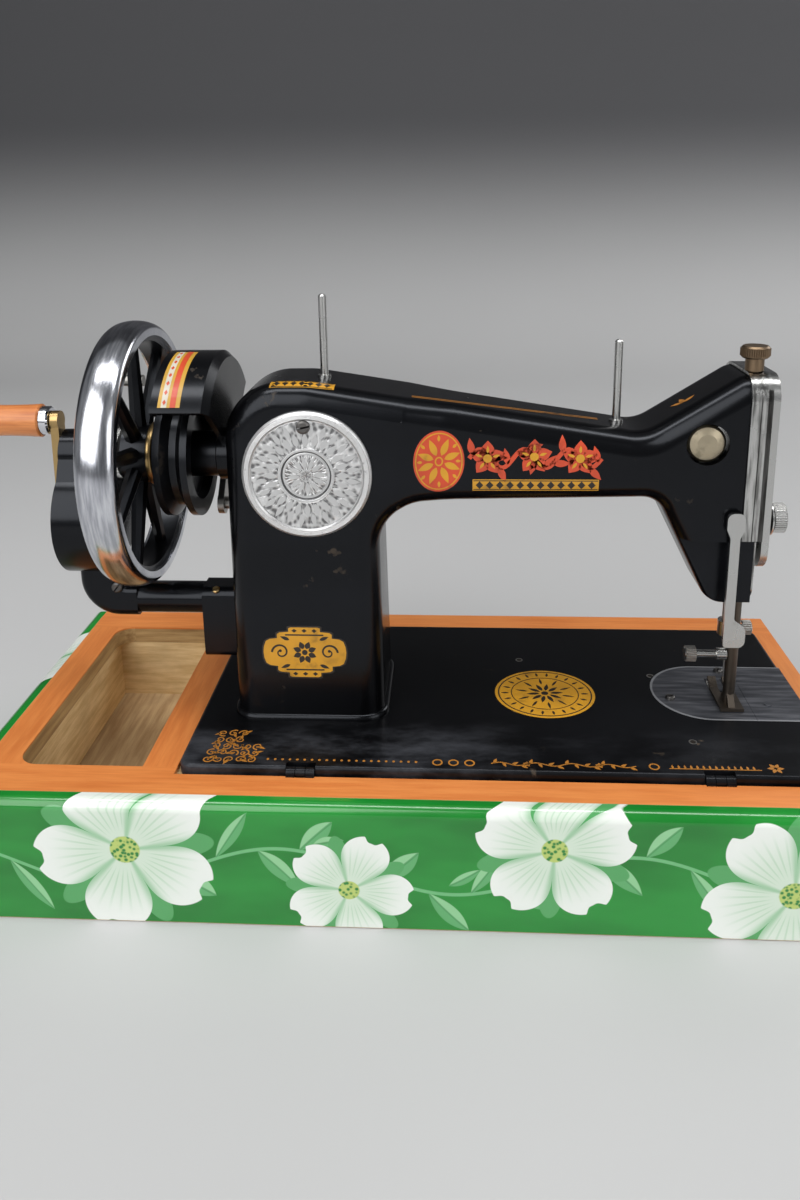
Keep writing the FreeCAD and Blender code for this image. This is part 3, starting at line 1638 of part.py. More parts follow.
def build_lifter():
    """Presser-bar lifter: a long lever on the rear of the head."""
    x = lifter_x()
    z = bed_top + s.lifter_height
    hub = s.lifter_hub_radius
    soft = s.lifter_fillet
    half = s.lifter_width / 2
    end = z - s.lifter_length
    tab = x + half + s.lifter_tab
    tab_top = end + s.lifter_tab_length
    thick = s.lifter_thickness
    rear_y = -(s.arm_half_depth + s.face_sheet + s.lifter_stand + thick)
    outline = [
        (x - hub, z + hub, soft),
        (x - hub, z - hub, soft),
        (x - half, z - 2 * hub, soft),
        (x - half, end, s.lifter_end_round),
        (tab, end, soft),
        (tab, tab_top, soft),
        (x + half, tab_top + s.lifter_tab_slope, soft),
        (x + half, z - 2 * hub, soft),
        (x + hub, z - hub, soft),
        (x + hub, z + hub, soft),
    ]
    part("lifter_lever", pad("lifter_blade", "XZ_Plane", outline, rear_y, rear_y + thick))


def build_shaft():
    """Arm shaft with its eccentric, the two bushes and the needle crank."""
    zero = as_size(0)
    radius = s.shaft_radius
    end = cam_left
    bar = rod("shaft_bar", "X", (hub_left, zero, shaft_z), radius, end - hub_left)
    offset = (rod_x - s.eccentric_width / 2, zero, shaft_z + s.eccentric_throw)
    eccentric = rod("shaft_eccentric", "X", offset, s.eccentric_radius, s.eccentric_width)
    part("arm_shaft", fuse("shaft_whole", bar, eccentric))
    bore = radius + s.running_gap
    outer = s.bush_radius
    length = s.bush_length
    profile = [(0, bore), (0, outer), (length, outer), (length, bore)]
    bushes = []
    for number, x in enumerate((cast_boss_left, cavity_left - length)):
        bushes.append(turn(f"shaft_bush_{number}", "X", (x, 0, shaft_z), profile))
    part("shaft_bushes", group("shaft_bush_pair", *bushes))
    length = s.cam_length
    cam = s.cam_radius
    flange = s.cam_flange
    floor = cam - s.cam_groove_depth
    profile = [
        (0, 0),
        (0, cam),
        (flange, cam),
        (flange, floor),
        (length - flange, floor),
        (length - flange, cam),
        (length, cam),
        (length, 0),
    ]
    drum = turn("cam_drum", "X", (cam_left, 0, shaft_z), profile)
    pin_start = (cam_left + length - s.overlap, zero, shaft_z + s.needle_throw - s.link_pin_radius / 2)
    pin = rod("crank_pin", "X", pin_start, s.link_pin_radius, s.overlap + s.crank_pin_length)
    part("needle_crank", fuse("needle_crank_whole", drum, pin))


def build_handwheel():
    """Bright rim on a black spoked centre with a belt pulley, and the clutch knob."""
    inner = s.wheel_radius - s.wheel_rim_depth
    half = s.wheel_rim_width / 2
    crown = s.wheel_rim_crown
    shoulder = s.wheel_radius - crown
    centre = (wheel_x, 0, shaft_z)
    steps = int(s.wheel_rim_steps.value)
    angles = [180.0 * step / steps for step in range(steps + 1)]
    profile = [(-half, inner)]
    profile += [(-(half * cosine(angle)), shoulder + crown * sine(angle)) for angle in angles]
    profile.append((half, inner))
    part("handwheel_rim", turn("rim_shape", "X", centre, profile))
    seat = inner - s.running_gap
    floor = seat - s.wheel_band_depth
    band = half - s.wheel_band_inset
    ring = turn("wheel_band", "X", centre, [(-band, floor), (-band, seat), (band, seat), (band, floor)])
    part("handwheel_spider", fuse("spider_whole", ring, wheel_hub(), *wheel_spokes(floor)))
    thick = s.clutch_thickness
    clutch = s.clutch_radius
    bevel = s.small_bevel
    knob = [
        (0, 0),
        (0, clutch - s.clutch_crown),
        (s.clutch_crown / 2, clutch),
        (thick - bevel, clutch),
        (thick, clutch - bevel),
        (thick, 0),
    ]
    place_x = hub_left - s.clutch_thickness - s.open_gap
    part("clutch_knob", turn("clutch_shape", "X", (place_x, 0, shaft_z), knob))


def wheel_hub():
    """Hub and grooved belt pulley, turned in one."""
    bore = s.shaft_radius + s.seat_gap
    hub = s.wheel_hub_radius
    neck = hub - s.hub_neck_step
    bevel = s.hub_bevel
    edge = s.pulley_radius
    floor = edge - s.pulley_groove
    floor_half = s.pulley_floor_half
    lip = s.pulley_lip
    wall = s.pulley_wall
    start = -s.wheel_hub_left
    middle = s.wheel_offset - s.pulley_offset
    low = middle - s.pulley_width / 2
    high = middle + s.pulley_width / 2
    end = s.wheel_offset - s.cast_boss_length - s.hub_end_gap
    profile = [
        (start, bore),
        (start, hub - bevel),
        (start + bevel, hub),
        (low, hub),
        (low, edge),
        (low + lip, edge),
        (middle - floor_half, floor),
        (middle + floor_half, floor),
        (high - lip, edge),
        (high, edge),
        (high, floor - wall),
        (middle + wall, floor - wall),
        (middle + wall, neck),
        (end, neck),
        (end, bore),
    ]
    return turn("wheel_hub", "X", (wheel_x, 0, shaft_z), profile)


def wheel_spokes(reach):
    """Tapered eight-sided spokes spread evenly about the hub."""
    spokes = []
    count = int(s.spoke_count.value)
    start = s.wheel_hub_radius - s.spoke_sink
    length = reach + s.spoke_sink - start
    for number in range(count):
        angle = 360.0 * number / count
        spoke = taper_bar(f"spoke_{number}", s.spoke_root_radius, s.spoke_tip_radius, length)
        base = (wheel_x, -(start * sine(angle)), shaft_z + start * cosine(angle))
        spokes.append(place(spoke, base, FreeCAD.Rotation(FreeCAD.Vector(1, 0, 0), angle)))
    return spokes


def taper_bar(label, root, tip, length):
    """An eight-sided bar along Z that tapers from root to tip."""
    ends = []
    for name, radius, height in (("root", root, 0), ("tip", tip, length)):
        end = doc.addObject("Part::RegularPolygon", f"{label}_{name}")
        end.Polygon = int(s.spoke_sides.value)
        bind(end, "Circumradius", radius)
        ends.append(place(end, (0, 0, height)))
    bar = join(label, "Part::Loft", "Sections", ends)
    bar.Solid = True
    bar.Ruled = True
    return bar


def build_belt_guard():
    """Hood over the belt pulley, a sector carried on the casting's boss."""
    outer = s.guard_radius
    wall = s.guard_wall
    inner = outer - wall
    width = s.guard_width
    bevel = s.guard_bevel
    seat = s.cast_boss_radius + s.seat_gap
    profile = [
        (0, seat),
        (0, outer - bevel),
        (-bevel, outer),
        (-width, outer),
        (-width, inner - s.guard_lip),
        (wall - width, inner - s.guard_lip),
        (wall - width, inner),
        (-bevel, inner),
        (-wall, inner - bevel + wall),
        (-wall, seat),
    ]
    start = s.guard_middle_angle.value - s.guard_sweep.value / 2
    centre = (pillar_left - s.guard_stand, 0, shaft_z)
    part("belt_guard", turn("guard_hood", "X", centre, profile, s.guard_sweep, start))


def gear_shape(teeth, width, phase):
    """A spur gear's solid: straight-flanked teeth with backlash, about the X axis."""
    module = s.gear_module.value
    pitch = module * teeth / 2
    outer = pitch + TOOTH_TIP * module
    root = pitch - TOOTH_ROOT * module
    step = 2 * math.pi / teeth
    flanks = (
        (-TOOTH_ROOT_SHARE, root),
        (-TOOTH_TIP_SHARE, outer),
        (TOOTH_TIP_SHARE, outer),
        (TOOTH_ROOT_SHARE, root),
    )
    points = []
    for tooth in range(teeth):
        for share, radius in flanks:
            angle = phase + step * (tooth + share)
            points.append(FreeCAD.Vector(0, radius * math.cos(angle), radius * math.sin(angle)))
    outline = Part.makePolygon(points + points[:1])
    return Part.Face(outline).extrude(FreeCAD.Vector(width, 0, 0))


def toothed(label, teeth, phase, start):
    """A gear as a document object, its solid set from the sheet's values."""
    feature = doc.addObject("Part::Feature", label)
    feature.Shape = gear_shape(int(teeth.value), s.gear_width.value, phase)
    return place(feature, start)


def case_outline_solids(label, grow, low, high):
    """Keyhole form of the gear case: gear end, pinion end and the web between."""
    zero = as_size(0)
    module = s.gear_module
    room = s.case_tooth_gap + grow
    big = module * s.gear_teeth / 2 + room
    small = module * s.pinion_teeth / 2 + room
    length = high - low
    wide = rod(f"{label}_gear_end", "X", (low, zero, crank_z), big, length)
    narrow = rod(f"{label}_pinion_end", "X", (low, zero, shaft_z), small, length)
    outline = [(-big, crank_z), (big, crank_z), (small, shaft_z), (-small, shaft_z)]
    return [wide, narrow, pad(f"{label}_web", "YZ_Plane", outline, low, high)]


def elbow_edge(bounds):
    """The elbow's edges along its bend."""
    below = bounds.ZMax < crank_z.value - MATCH or bounds.ZLength > s.tube_radius.value
    inside = bounds.XMax < (case_right + s.elbow_reach).value - MATCH or bounds.XLength > MATCH
    return below and inside and bounds.YLength < MATCH


def build_crank_case():
    """Cast bracket with the gear case on its tube, and the case's cover."""
    zero = as_size(0)
    wall = s.case_wall
    spare = s.cut_spare
    back = case_right - wall
    bore = s.crank_shaft_radius + s.running_gap
    bore_run = wall + 2 * spare
    outer = fuse("case_outer", *case_outline_solids("case_out", wall, case_left, case_right))
    inner = fuse("case_inner", *case_outline_solids("case_in", zero, case_left - spare, back))
    journal = rod("case_journal", "X", (back - spare, zero, shaft_z), bore, bore_run)
    blind = rod("case_blind", "X", (back - spare, zero, crank_z), bore, bore_run)
    tube = rod("bracket_tube", "X", (case_right, zero, tube_z), s.tube_radius, pillar_left - case_right)
    blank = fuse("bracket_blank", outer, case_elbow(), tube, bracket_post())
    part("crank_bracket", cut("bracket_cut", blank, inner, journal, blind))
    cover = fuse("cover_blank", *case_outline_solids("cover_out", wall, case_left - wall, case_left))
    hole = rod("cover_hole", "X", (case_left - wall - spare, zero, crank_z), bore, bore_run)
    part("case_cover", cut("cover_cut", cover, hole))


def case_elbow():
    """Rounded bend from the gear case into the tube."""
    end = case_right + s.elbow_reach
    low = tube_z - s.tube_radius
    high = tube_z + s.tube_radius
    outline = [
        (case_left, crank_z),
        (case_left, low, s.elbow_radius),
        (end, low),
        (end, high),
        (case_right, high, s.elbow_inner_radius),
        (case_right, crank_z),
    ]
    elbow = pad("case_elbow", "XZ_Plane", outline, -s.tube_radius, s.tube_radius)
    return round_edges("case_elbow_rounded", elbow, s.elbow_edge_round, elbow_edge)


def bracket_post():
    """Block that stands against the pillar and carries the tube."""
    half = s.post_depth / 2
    low = bed_top + s.post_bottom
    high = tube_z + s.tube_radius
    outline = [
        (-half, low, s.post_corner),
        (half, low, s.post_corner),
        (half, high, s.post_shoulder),
        (-half, high, s.post_shoulder),
    ]
    return pad("bracket_post", "YZ_Plane", outline, pillar_left - s.post_width, pillar_left)


def build_crank():
    """Crank gear and arm, driving pinion with its finger, handle and ferrule."""
    gear = toothed("gear_teeth", s.gear_teeth, math.pi / 2, (gear_left, 0, crank_z))
    arm_right = case_left - s.case_wall - s.crank_gap
    arm_left = arm_right - s.crank_thickness
    shaft_start = (arm_left, as_size(0), crank_z)
    shaft = rod("crank_shaft", "X", shaft_start, s.crank_shaft_radius, case_right - arm_left)
    part("crank_gear", fuse("crank_gear_whole", gear, shaft))
    build_crank_arm(arm_left, arm_right)
    build_handle(arm_left - s.open_gap, crank_z + s.crank_length)
    build_pinion()


def build_crank_arm(arm_left, arm_right):
    """Tapered arm between the crank shaft and the handle's pin."""
    zero = as_size(0)
    thick = s.crank_thickness
    tip_z = crank_z + s.crank_length
    hub = s.crank_hub_radius
    tip = s.crank_tip_radius
    lower = rod("crank_hub", "X", (arm_left, zero, crank_z), hub, thick)
    upper = rod("crank_tip", "X", (arm_left, zero, tip_z), tip, thick)
    root_half = hub * s.crank_web_share
    tip_half = tip * s.crank_web_share
    outline = [(-root_half, crank_z), (root_half, crank_z), (tip_half, tip_z), (-tip_half, tip_z)]
    web = pad("crank_web", "YZ_Plane", outline, arm_left, arm_right)
    bore_start = (arm_left - s.cut_spare, zero, crank_z)
    bore_radius = s.crank_shaft_radius + s.seat_gap
    bore = rod("crank_bore", "X", bore_start, bore_radius, thick + 2 * s.cut_spare)
    pin_length = s.handle_length + s.ferrule_length - s.handle_pin_short
    pin_start = (arm_left - pin_length, zero, tip_z)
    pin = rod("handle_pin", "X", pin_start, s.handle_pin_radius, pin_length + s.overlap)
    part("crank_arm", cut("crank_arm_cut", fuse("crank_arm_blank", lower, upper, web, pin), bore))


def build_pinion():
    """Driving pinion with its axle, driver and the finger that reaches between two spokes."""
    zero = as_size(0)
    radius = s.crank_shaft_radius
    thick = s.driver_thickness
    phase = math.pi / s.pinion_teeth.value - math.pi / 2
    pinion = toothed("pinion_teeth", s.pinion_teeth, phase, (gear_left, 0, shaft_z))
    driver_left = case_right + s.open_gap
    axle = rod("pinion_axle", "X", (gear_left, zero, shaft_z), radius, driver_left - gear_left + thick)
    finger_y = s.finger_orbit * sine(s.finger_angle)
    finger_z = shaft_z + s.finger_orbit * cosine(s.finger_angle)
    finger_start = (driver_left, finger_y, finger_z)
    finger = rod("drive_finger", "X", finger_start, s.finger_radius, thick + s.finger_reach)
    boss = rod("driver_boss", "X", (driver_left, zero, shaft_z), radius + s.driver_boss_wall, thick)
    root = s.driver_strap_root
    tip = s.driver_strap_tip
    outline = [(finger_y - tip, finger_z), (-root, shaft_z), (root, shaft_z), (finger_y + tip, finger_z)]
    strap = pad("driver_strap", "YZ_Plane", outline, driver_left, driver_left + thick)
    part("drive_pinion", fuse("pinion_whole", pinion, axle, boss, strap, finger))


def build_handle(start, tip_z):
    """Turned wooden grip with a metal ferrule, running on the crank's pin."""
    bore = s.handle_pin_radius + s.running_gap
    ferrule = s.ferrule_radius
    ring = s.ferrule_length
    bevel = s.small_bevel
    profile = [(0, bore), (0, ferrule - bevel), (-bevel, ferrule), (-ring, ferrule), (-ring, bore)]
    part("handle_ferrule", turn("ferrule_shape", "X", (start, 0, tip_z), profile))
    length = s.handle_length
    end = s.handle_end_radius
    swell = s.handle_belly_radius - end
    hollow = length - s.handle_end_wall
    profile = [(0, bore)]
    profile += [(-(length * along), end + swell * share) for along, share in GRIP_STATIONS]
    profile += [(-length, 0), (-hollow, 0), (-hollow, bore)]
    part("handle_grip", turn("grip_shape", "X", (start - ring, 0, tip_z), profile))


def build_shuttle():
    """Shuttle race, hook, bobbin case, hook shaft and the long connecting rod."""
    start = needle_x + s.hook_side_gap
    build_race(start)
    floor = s.hook_floor
    core = s.hook_core_radius
    outer = s.hook_radius
    bevel = s.hook_bevel
    length = s.hook_length
    profile = [
        (0, core),
        (0, outer - bevel),
        (bevel, outer),
        (length - bevel, outer),
        (length, outer - bevel),
        (length, core),
    ]
    hook = turn("hook_ring", "X", (start, 0, hook_z), profile, s.hook_sweep, s.hook_start.value)
    disc = rod("hook_driver", "X", (start, as_size(0), hook_z), outer - bevel, floor)
    part("shuttle_hook", fuse("hook_whole", hook, disc))
    low = floor + s.open_gap
    high = length + s.bobbin_case_proud
    radius = core - s.open_gap
    bevel = s.small_bevel
    profile = [(low, 0), (low, radius), (high - bevel, radius), (high, radius - bevel), (high, 0)]
    part("bobbin_case", turn("bobbin_case_shape", "X", (start, 0, hook_z), profile))
    build_hook_shaft(start)
    build_rod()


def build_race(start):
    """Open ring that the hook turns in, hung from the bed by a foot."""
    outer = s.race_radius
    inner = s.hook_radius + s.open_gap
    low = -s.race_overhang
    high = s.hook_length + s.race_overhang
    profile = [(low, inner), (low, outer), (high, outer), (high, inner)]
    ring = turn("race_ring", "X", (start, 0, hook_z), profile, s.race_sweep, s.race_start.value)
    foot_low = (start + low, -(s.plate_half_width + s.race_foot_reach), hook_z - s.race_foot_drop)
    foot_high = (start + high, -(outer - s.race_foot_lap), web_bottom)
    part("shuttle_race", fuse("race_whole", ring, box("race_foot", foot_low, foot_high)))


def build_hook_shaft(driver_left):
    """Oscillating shaft under the bed, with a crank below the pillar."""
    pin_left = rod_x + s.rod_thickness / 2 + s.open_gap
    crank_left = pin_left + s.hook_crank_offset
    crank_right = crank_left + s.hook_crank_width
    bar_start = (crank_left, as_size(0), hook_z)
    bar = rod("hook_bar", "X", bar_start, s.hook_shaft_radius, driver_left - crank_left)
    reach = s.hook_crank_reach
    half = s.hook_crank_half
    outline = [
        (-half, hook_z - half),
        (reach + half, hook_z - half),
        (reach + half, hook_z + half),
        (-half, hook_z + half),
    ]
    crank = pad("hook_crank", "YZ_Plane", outline, crank_left, crank_right)
    pin_run = s.hook_crank_offset + s.overlap
    pin = rod("hook_pin", "X", (pin_left, reach, hook_z), s.hook_pin_radius, pin_run)
    part("hook_shaft", fuse("hook_shaft_whole", bar, crank, pin))


def build_rod():
    """Long rod from the arm shaft's eccentric down to the hook crank."""
    thick = s.rod_thickness
    start = rod_x - thick / 2
    inner = s.eccentric_radius + s.eccentric_throw + s.rod_travel + s.open_gap
    reach = s.hook_crank_reach
    width = s.rod_width / 2
    ring = rod("rod_ring", "X", (start, 0, shaft_z), inner + s.rod_ring_wall, thick)
    eye = rod("rod_eye", "X", (start, reach, hook_z), width, thick)
    top = shaft_z - inner
    outline = [(reach - width, hook_z), (reach + width, hook_z), (width, top), (-width, top)]
    shank = pad("rod_shank", "YZ_Plane", outline, start, start + thick)
    hole_start = (start - s.cut_spare, 0, shaft_z)
    hole = rod("rod_ring_hole", "X", hole_start, inner, thick + 2 * s.cut_spare)
    part("connecting_rod", cut("rod_cut", fuse("rod_blank", ring, eye, shank), hole))


def build_stitch_lever():
    """Stitch-length plate with two ears, and its lever, on the operator's side."""
    z = bed_top + s.stitch_height
    half = s.stitch_plate_width / 2 - s.seat_gap
    half_length = s.stitch_plate_length / 2 - s.seat_gap
    seat = s.stitch_seat_depth
    face = seat + s.stitch_plate_thickness
    plate_low = (rod_x - half, seat, z - half_length)
    plate = box("stitch_sheet", plate_low, (rod_x + half, face, z + half_length))
    pivot_y = face + s.stitch_pivot_rise
    ear_half = s.stitch_ear_half
    ear_tip = pivot_y + s.stitch_ear_round
    outline = [
        (seat + s.overlap, z - ear_half),
        (ear_tip, z - ear_half, s.stitch_ear_round),
        (ear_tip, z + ear_half, s.stitch_ear_round),
        (seat + s.overlap, z + ear_half),
    ]
    gap = s.stitch_lever_width / 2 + s.open_gap
    span = gap + s.stitch_ear_width
    ears = [
        pad("stitch_ear_0", "YZ_Plane", outline, rod_x - span, rod_x - gap),
        pad("stitch_ear_1", "YZ_Plane", outline, rod_x + gap, rod_x + span),
    ]
    hole_start = (rod_x - span - s.cut_spare, pivot_y, z)
    hole_radius = s.stitch_pin_radius + s.running_gap
    hole = rod("stitch_pivot_hole", "X", hole_start, hole_radius, 2 * span + 2 * s.cut_spare)
    part("stitch_plate", cut("stitch_plate_cut", fuse("stitch_plate_blank", plate, *ears), hole))
    build_stitch_blade(pivot_y, z, span)


def build_stitch_blade(pivot_y, z, span):
    """Stitch lever: an axle in the ears, a hub and a blade with a thumb piece."""
    half = s.stitch_lever_width / 2
    axle = rod("stitch_axle", "X", (rod_x - span, pivot_y, z), s.stitch_pin_radius, 2 * span)
    hub_radius = s.stitch_pin_radius + s.stitch_hub_wall
    hub = rod("stitch_hub", "X", (rod_x - half, pivot_y, z), hub_radius, s.stitch_lever_width)
    tip = pivot_y + s.stitch_lever_length
    neck = tip - s.stitch_thumb_length
    blade = s.stitch_blade_half
    thumb = s.stitch_thumb_half
    corner = s.stitch_thumb_corner
    outline = [
        (pivot_y, z - blade),
        (neck, z - blade),
        (tip, z - thumb, corner),
        (tip, z + thumb, corner),
        (neck, z + blade),
        (pivot_y, z + blade),
    ]
    arm = pad("stitch_blade", "YZ_Plane", outline, rod_x - half, rod_x + half)
    part("stitch_lever", fuse("stitch_lever_whole", axle, hub, arm))


def winder_pin(label, gap):
    """The winder's pivot pin from its arm into the pillar, or with a gap its bore."""
    start = (pillar_left - winder_pin_length(), s.winder_pin_depth, shaft_z - s.winder_pin_drop)
    length = winder_pin_length() + s.winder_pin_seat + gap
    return rod(label, "X", start, s.winder_pin_radius + gap, length)


def build_winder():
    """Bobbin winder beside the belt pulley: swinging arm and tyred spindle."""
    thick = s.winder_arm_thickness
    pivot_y = s.winder_pin_depth
    pivot_z = shaft_z - s.winder_pin_drop
    orbit = s.pulley_radius + s.winder_tyre_radius + s.open_gap
    spindle_y = orbit * cosine(s.winder_angle)
    spindle_z = shaft_z - orbit * sine(s.winder_angle)
    arm_left = pillar_left - winder_pin_length()
    hub = s.winder_pin_radius + s.winder_hub_wall
    web_half = s.winder_web_half
    lower = rod("winder_hub", "X", (arm_left, pivot_y, pivot_z), hub, thick)
    upper = rod("winder_boss", "X", (arm_left, spindle_y, spindle_z), hub, thick)
    outline = [
        (pivot_y + web_half, pivot_z - web_half),
        (spindle_y + web_half, spindle_z - web_half),
        (spindle_y - web_half, spindle_z + web_half),
        (pivot_y - web_half, pivot_z + web_half),
    ]
    web = pad("winder_web", "YZ_Plane", outline, arm_left, arm_left + thick)
    pin = winder_pin("winder_pin", as_size(0))
    journal_start = (arm_left - s.cut_spare, spindle_y, spindle_z)
    journal_radius = s.winder_spindle_radius + s.running_gap
    journal = rod("winder_journal", "X", journal_start, journal_radius, thick + 2 * s.cut_spare)
    part("winder_arm", cut("winder_arm_cut", fuse("winder_arm_blank", lower, upper, web, pin), journal))
    build_winder_spindle((arm_left, spindle_y, spindle_z))


def build_winder_spindle(centre):
    """Spindle with a rubber tyre and the nose that takes a bobbin."""
    axle = s.winder_spindle_radius
    tyre = s.winder_tyre_radius
    bevel = s.winder_tyre_bevel
    nose = s.winder_nose_radius
    tip = s.small_bevel
    gap = s.open_gap
    tyre_end = -(gap + s.winder_tyre_width)
    end = tyre_end - s.winder_nose_length
    profile = [
        (s.winder_arm_thickness, 0),
        (s.winder_arm_thickness, axle),
        (-gap, axle),
        (-gap, tyre - bevel),
        (-gap - bevel, tyre),
        (tyre_end + bevel, tyre),
        (tyre_end, tyre - bevel),
        (tyre_end, nose),
        (end + tip, nose),
        (end, nose - tip),
        (end, 0),
    ]
    part("winder_spindle", turn("winder_spindle_shape", "X", centre, profile))


def build_all():
    """Build every sub-part."""
    build_boards()
    build_rails()
    build_tray()
    build_bed_rests()
    build_hinges()
    build_bed()
    build_arm()
    build_covers()
    build_face_end()
    build_plates()
    build_spool_pins()
    build_shaft()
    build_handwheel()
    build_belt_guard()
    build_crank_case()
    build_crank()
    build_needle_bar()
    build_takeup()
    build_presser()
    build_shuttle()
    build_stitch_lever()
    build_winder()


def check_all():
    """Stop if any object failed or any sub-part has no valid solid."""
    for obj in doc.Objects:
        if "Invalid" in obj.State or "Error" in obj.State:
            raise RuntimeError(f"{obj.Label} failed: {obj.getStatusString()}")
    for obj in PARTS:
        if obj.Shape.isNull() or not obj.Shape.isValid() or not obj.Shape.Solids:
            raise RuntimeError(f"{obj.Label} has no valid solid")


def write_all():
    """Write each sub-part to its own file."""
    os.makedirs("parts", exist_ok=True)
    for obj in PARTS:
        obj.Shape.exportStep(f"parts/{obj.Label}.step")


build_all()
doc.recompute()
check_all()
write_all()
print(f"{len(PARTS)} sub-parts written")
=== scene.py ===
from math import atan2, ceil, cos, dist, pi, radians, sin, tau

import bmesh
import bpy
from mathutils import Matrix, Vector
from mathutils.bvhtree import BVHTree


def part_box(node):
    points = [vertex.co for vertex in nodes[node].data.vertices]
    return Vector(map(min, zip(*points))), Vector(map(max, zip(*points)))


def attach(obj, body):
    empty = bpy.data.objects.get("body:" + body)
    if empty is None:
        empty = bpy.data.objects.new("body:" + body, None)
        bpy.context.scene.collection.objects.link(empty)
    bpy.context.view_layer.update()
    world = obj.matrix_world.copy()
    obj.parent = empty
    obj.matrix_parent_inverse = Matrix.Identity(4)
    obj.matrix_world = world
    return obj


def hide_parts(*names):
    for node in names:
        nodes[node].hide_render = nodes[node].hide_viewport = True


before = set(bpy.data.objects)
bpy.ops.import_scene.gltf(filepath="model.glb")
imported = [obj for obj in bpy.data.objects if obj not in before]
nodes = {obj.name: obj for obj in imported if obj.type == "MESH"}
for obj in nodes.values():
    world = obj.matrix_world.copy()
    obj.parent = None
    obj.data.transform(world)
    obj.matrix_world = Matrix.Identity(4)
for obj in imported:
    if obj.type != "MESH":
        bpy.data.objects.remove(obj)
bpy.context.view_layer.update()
scene = bpy.context.scene

MM = 0.001
X_AXIS = Vector((1, 0, 0))
Y_AXIS = Vector((0, 1, 0))
Z_AXIS = Vector((0, 0, 1))
WHEEL_Z = 237.0  # height of the handwheel's axis, in millimetres
SAME_POINT = 1e-7  # corners that are nearer than this, in metres, are one

# Grain directions, and pale and dark colours of the woods.
ALONG_X = (2.0, 26.0, 26.0)
ALONG_Y = (26.0, 2.0, 26.0)
LEVEL = (3.0, 3.0, 30.0)
RAIL = ((232, 144, 74), (212, 120, 56))
RAW_BOARD = ((214, 186, 138), (176, 140, 92))


def tint(red, green, blue):
    """A colour given as it looks on a screen, 0 to 255, as linear light."""
    channels = [channel / 255 for channel in (red, green, blue)]
    linear = [c / 12.92 if c <= 0.04045 else ((c + 0.055) / 1.055) ** 2.4 for c in channels]
    return (*linear, 1.0)


def darker(colour, share):
    """A share of a screen colour."""
    return tuple(channel * share for channel in colour)


def evenly(start, end, steps):
    """Numbers from a start to an end, both given, in equal steps."""
    return [start + (end - start) * number / steps for number in range(steps + 1)]


def applied(operation):
    """A method that adds one Math node to a value."""
    return lambda value, *others: value.graph.maths(operation, value, *others)


class Value:
    """A node's output socket; arithmetic on it adds Math nodes."""

    def __init__(self, graph, socket):
        self.graph = graph
        self.socket = socket

    def __rsub__(self, other):
        return self.graph.maths("SUBTRACT", other, self)

    __add__ = __radd__ = applied("ADD")
    __sub__ = applied("SUBTRACT")
    __mul__ = __rmul__ = applied("MULTIPLY")
    __truediv__ = applied("DIVIDE")
    __pow__ = applied("POWER")
    __abs__ = applied("ABSOLUTE")
    cosine = applied("COSINE")
    sine = applied("SINE")
    angle = applied("ARCTAN2")
    wrap = applied("FLOORED_MODULO")
    most = applied("MAXIMUM")

    def step(self, low, high):
        """0 below low, 1 above high, smooth between."""
        ends = {"Value": self, "From Min": low, "From Max": high}
        return self.graph.node("ShaderNodeMapRange", ends, interpolation_type="SMOOTHSTEP")

    def fall(self, low, high):
        """1 below low, 0 above high, smooth between."""
        return 1 - self.step(low, high)


class Graph:
    """The nodes and links of one tree."""

    def __init__(self, tree):
        self.tree = tree

    def feed(self, socket, value):
        if isinstance(value, Value):
            self.tree.links.new(value.socket, socket)
        else:
            socket.default_value = value

    def node(self, kind, inputs=None, output=0, **settings):
        """Any node: its settings first, then the values or links of its sockets."""
        made = self.tree.nodes.new(kind)
        for name, value in settings.items():
            setattr(made, name, value)
        for name, value in (inputs or {}).items():
            self.feed(made.inputs[name], value)
        return Value(self, made.outputs[output])

    def maths(self, operation, *operands):
        return self.node("ShaderNodeMath", dict(enumerate(operands)), operation=operation)


class Paint(Graph):
    """A material in the making, round one principled shader."""

    def __init__(self, name, constants=None):
        self.material = bpy.data.materials.new(name)
        self.material.use_nodes = True
        super().__init__(self.material.node_tree)
        self.shader = self.tree.nodes["Principled BSDF"]
        self.coat(constants or {})
        self.point = self.node("ShaderNodeTexCoord", output="Object")

    def coat(self, sockets):
        """Set or link the shader's sockets."""
        for name, value in sockets.items():
            self.feed(self.shader.inputs[name], value)

    def mix(self, share, first, second):
        """A blend of two colours, each a value, three screen channels or linear light."""
        pair = [tint(*c) if isinstance(c, tuple) and len(c) == 3 else c for c in (first, second)]
        sockets = {0: share, 6: pair[0], 7: pair[1]}
        return self.node("ShaderNodeMix", sockets, 2, data_type="RGBA")

    def axes(self):
        """The three coordinates of a surface point, in metres."""
        split = self.tree.nodes.new("ShaderNodeSeparateXYZ")
        self.feed(split.inputs[0], self.point)
        return [Value(self, socket) for socket in split.outputs]

    def noise(self, scale, detail=4.0, grain=None, rough=0.55):
        """Noise at the surface point, stretched by a grain, or at another point."""
        point = grain or self.point
        if isinstance(grain, tuple):
            point = self.node("ShaderNodeMapping", {"Vector": self.point, "Scale": grain})
        sockets = {"Vector": point, "Scale": scale, "Detail": detail, "Roughness": rough}
        return self.node("ShaderNodeTexNoise", sockets)

    def cells(self, scale, point=None, feature="F1"):
        sockets = {"Vector": point or self.point, "Scale": scale}
        return self.node("ShaderNodeTexVoronoi", sockets, feature=feature)

    def finished(self, colour, rough, bump=None):
        """The material, with its colour, roughness and a bump's height, strength and depth."""
        self.coat({"Base Color": colour, "Roughness": rough})
        if bump:
            sockets = dict(zip(("Height", "Strength", "Distance"), bump))
            self.coat({"Normal": self.node("ShaderNodeBump", sockets)})
        return self.material


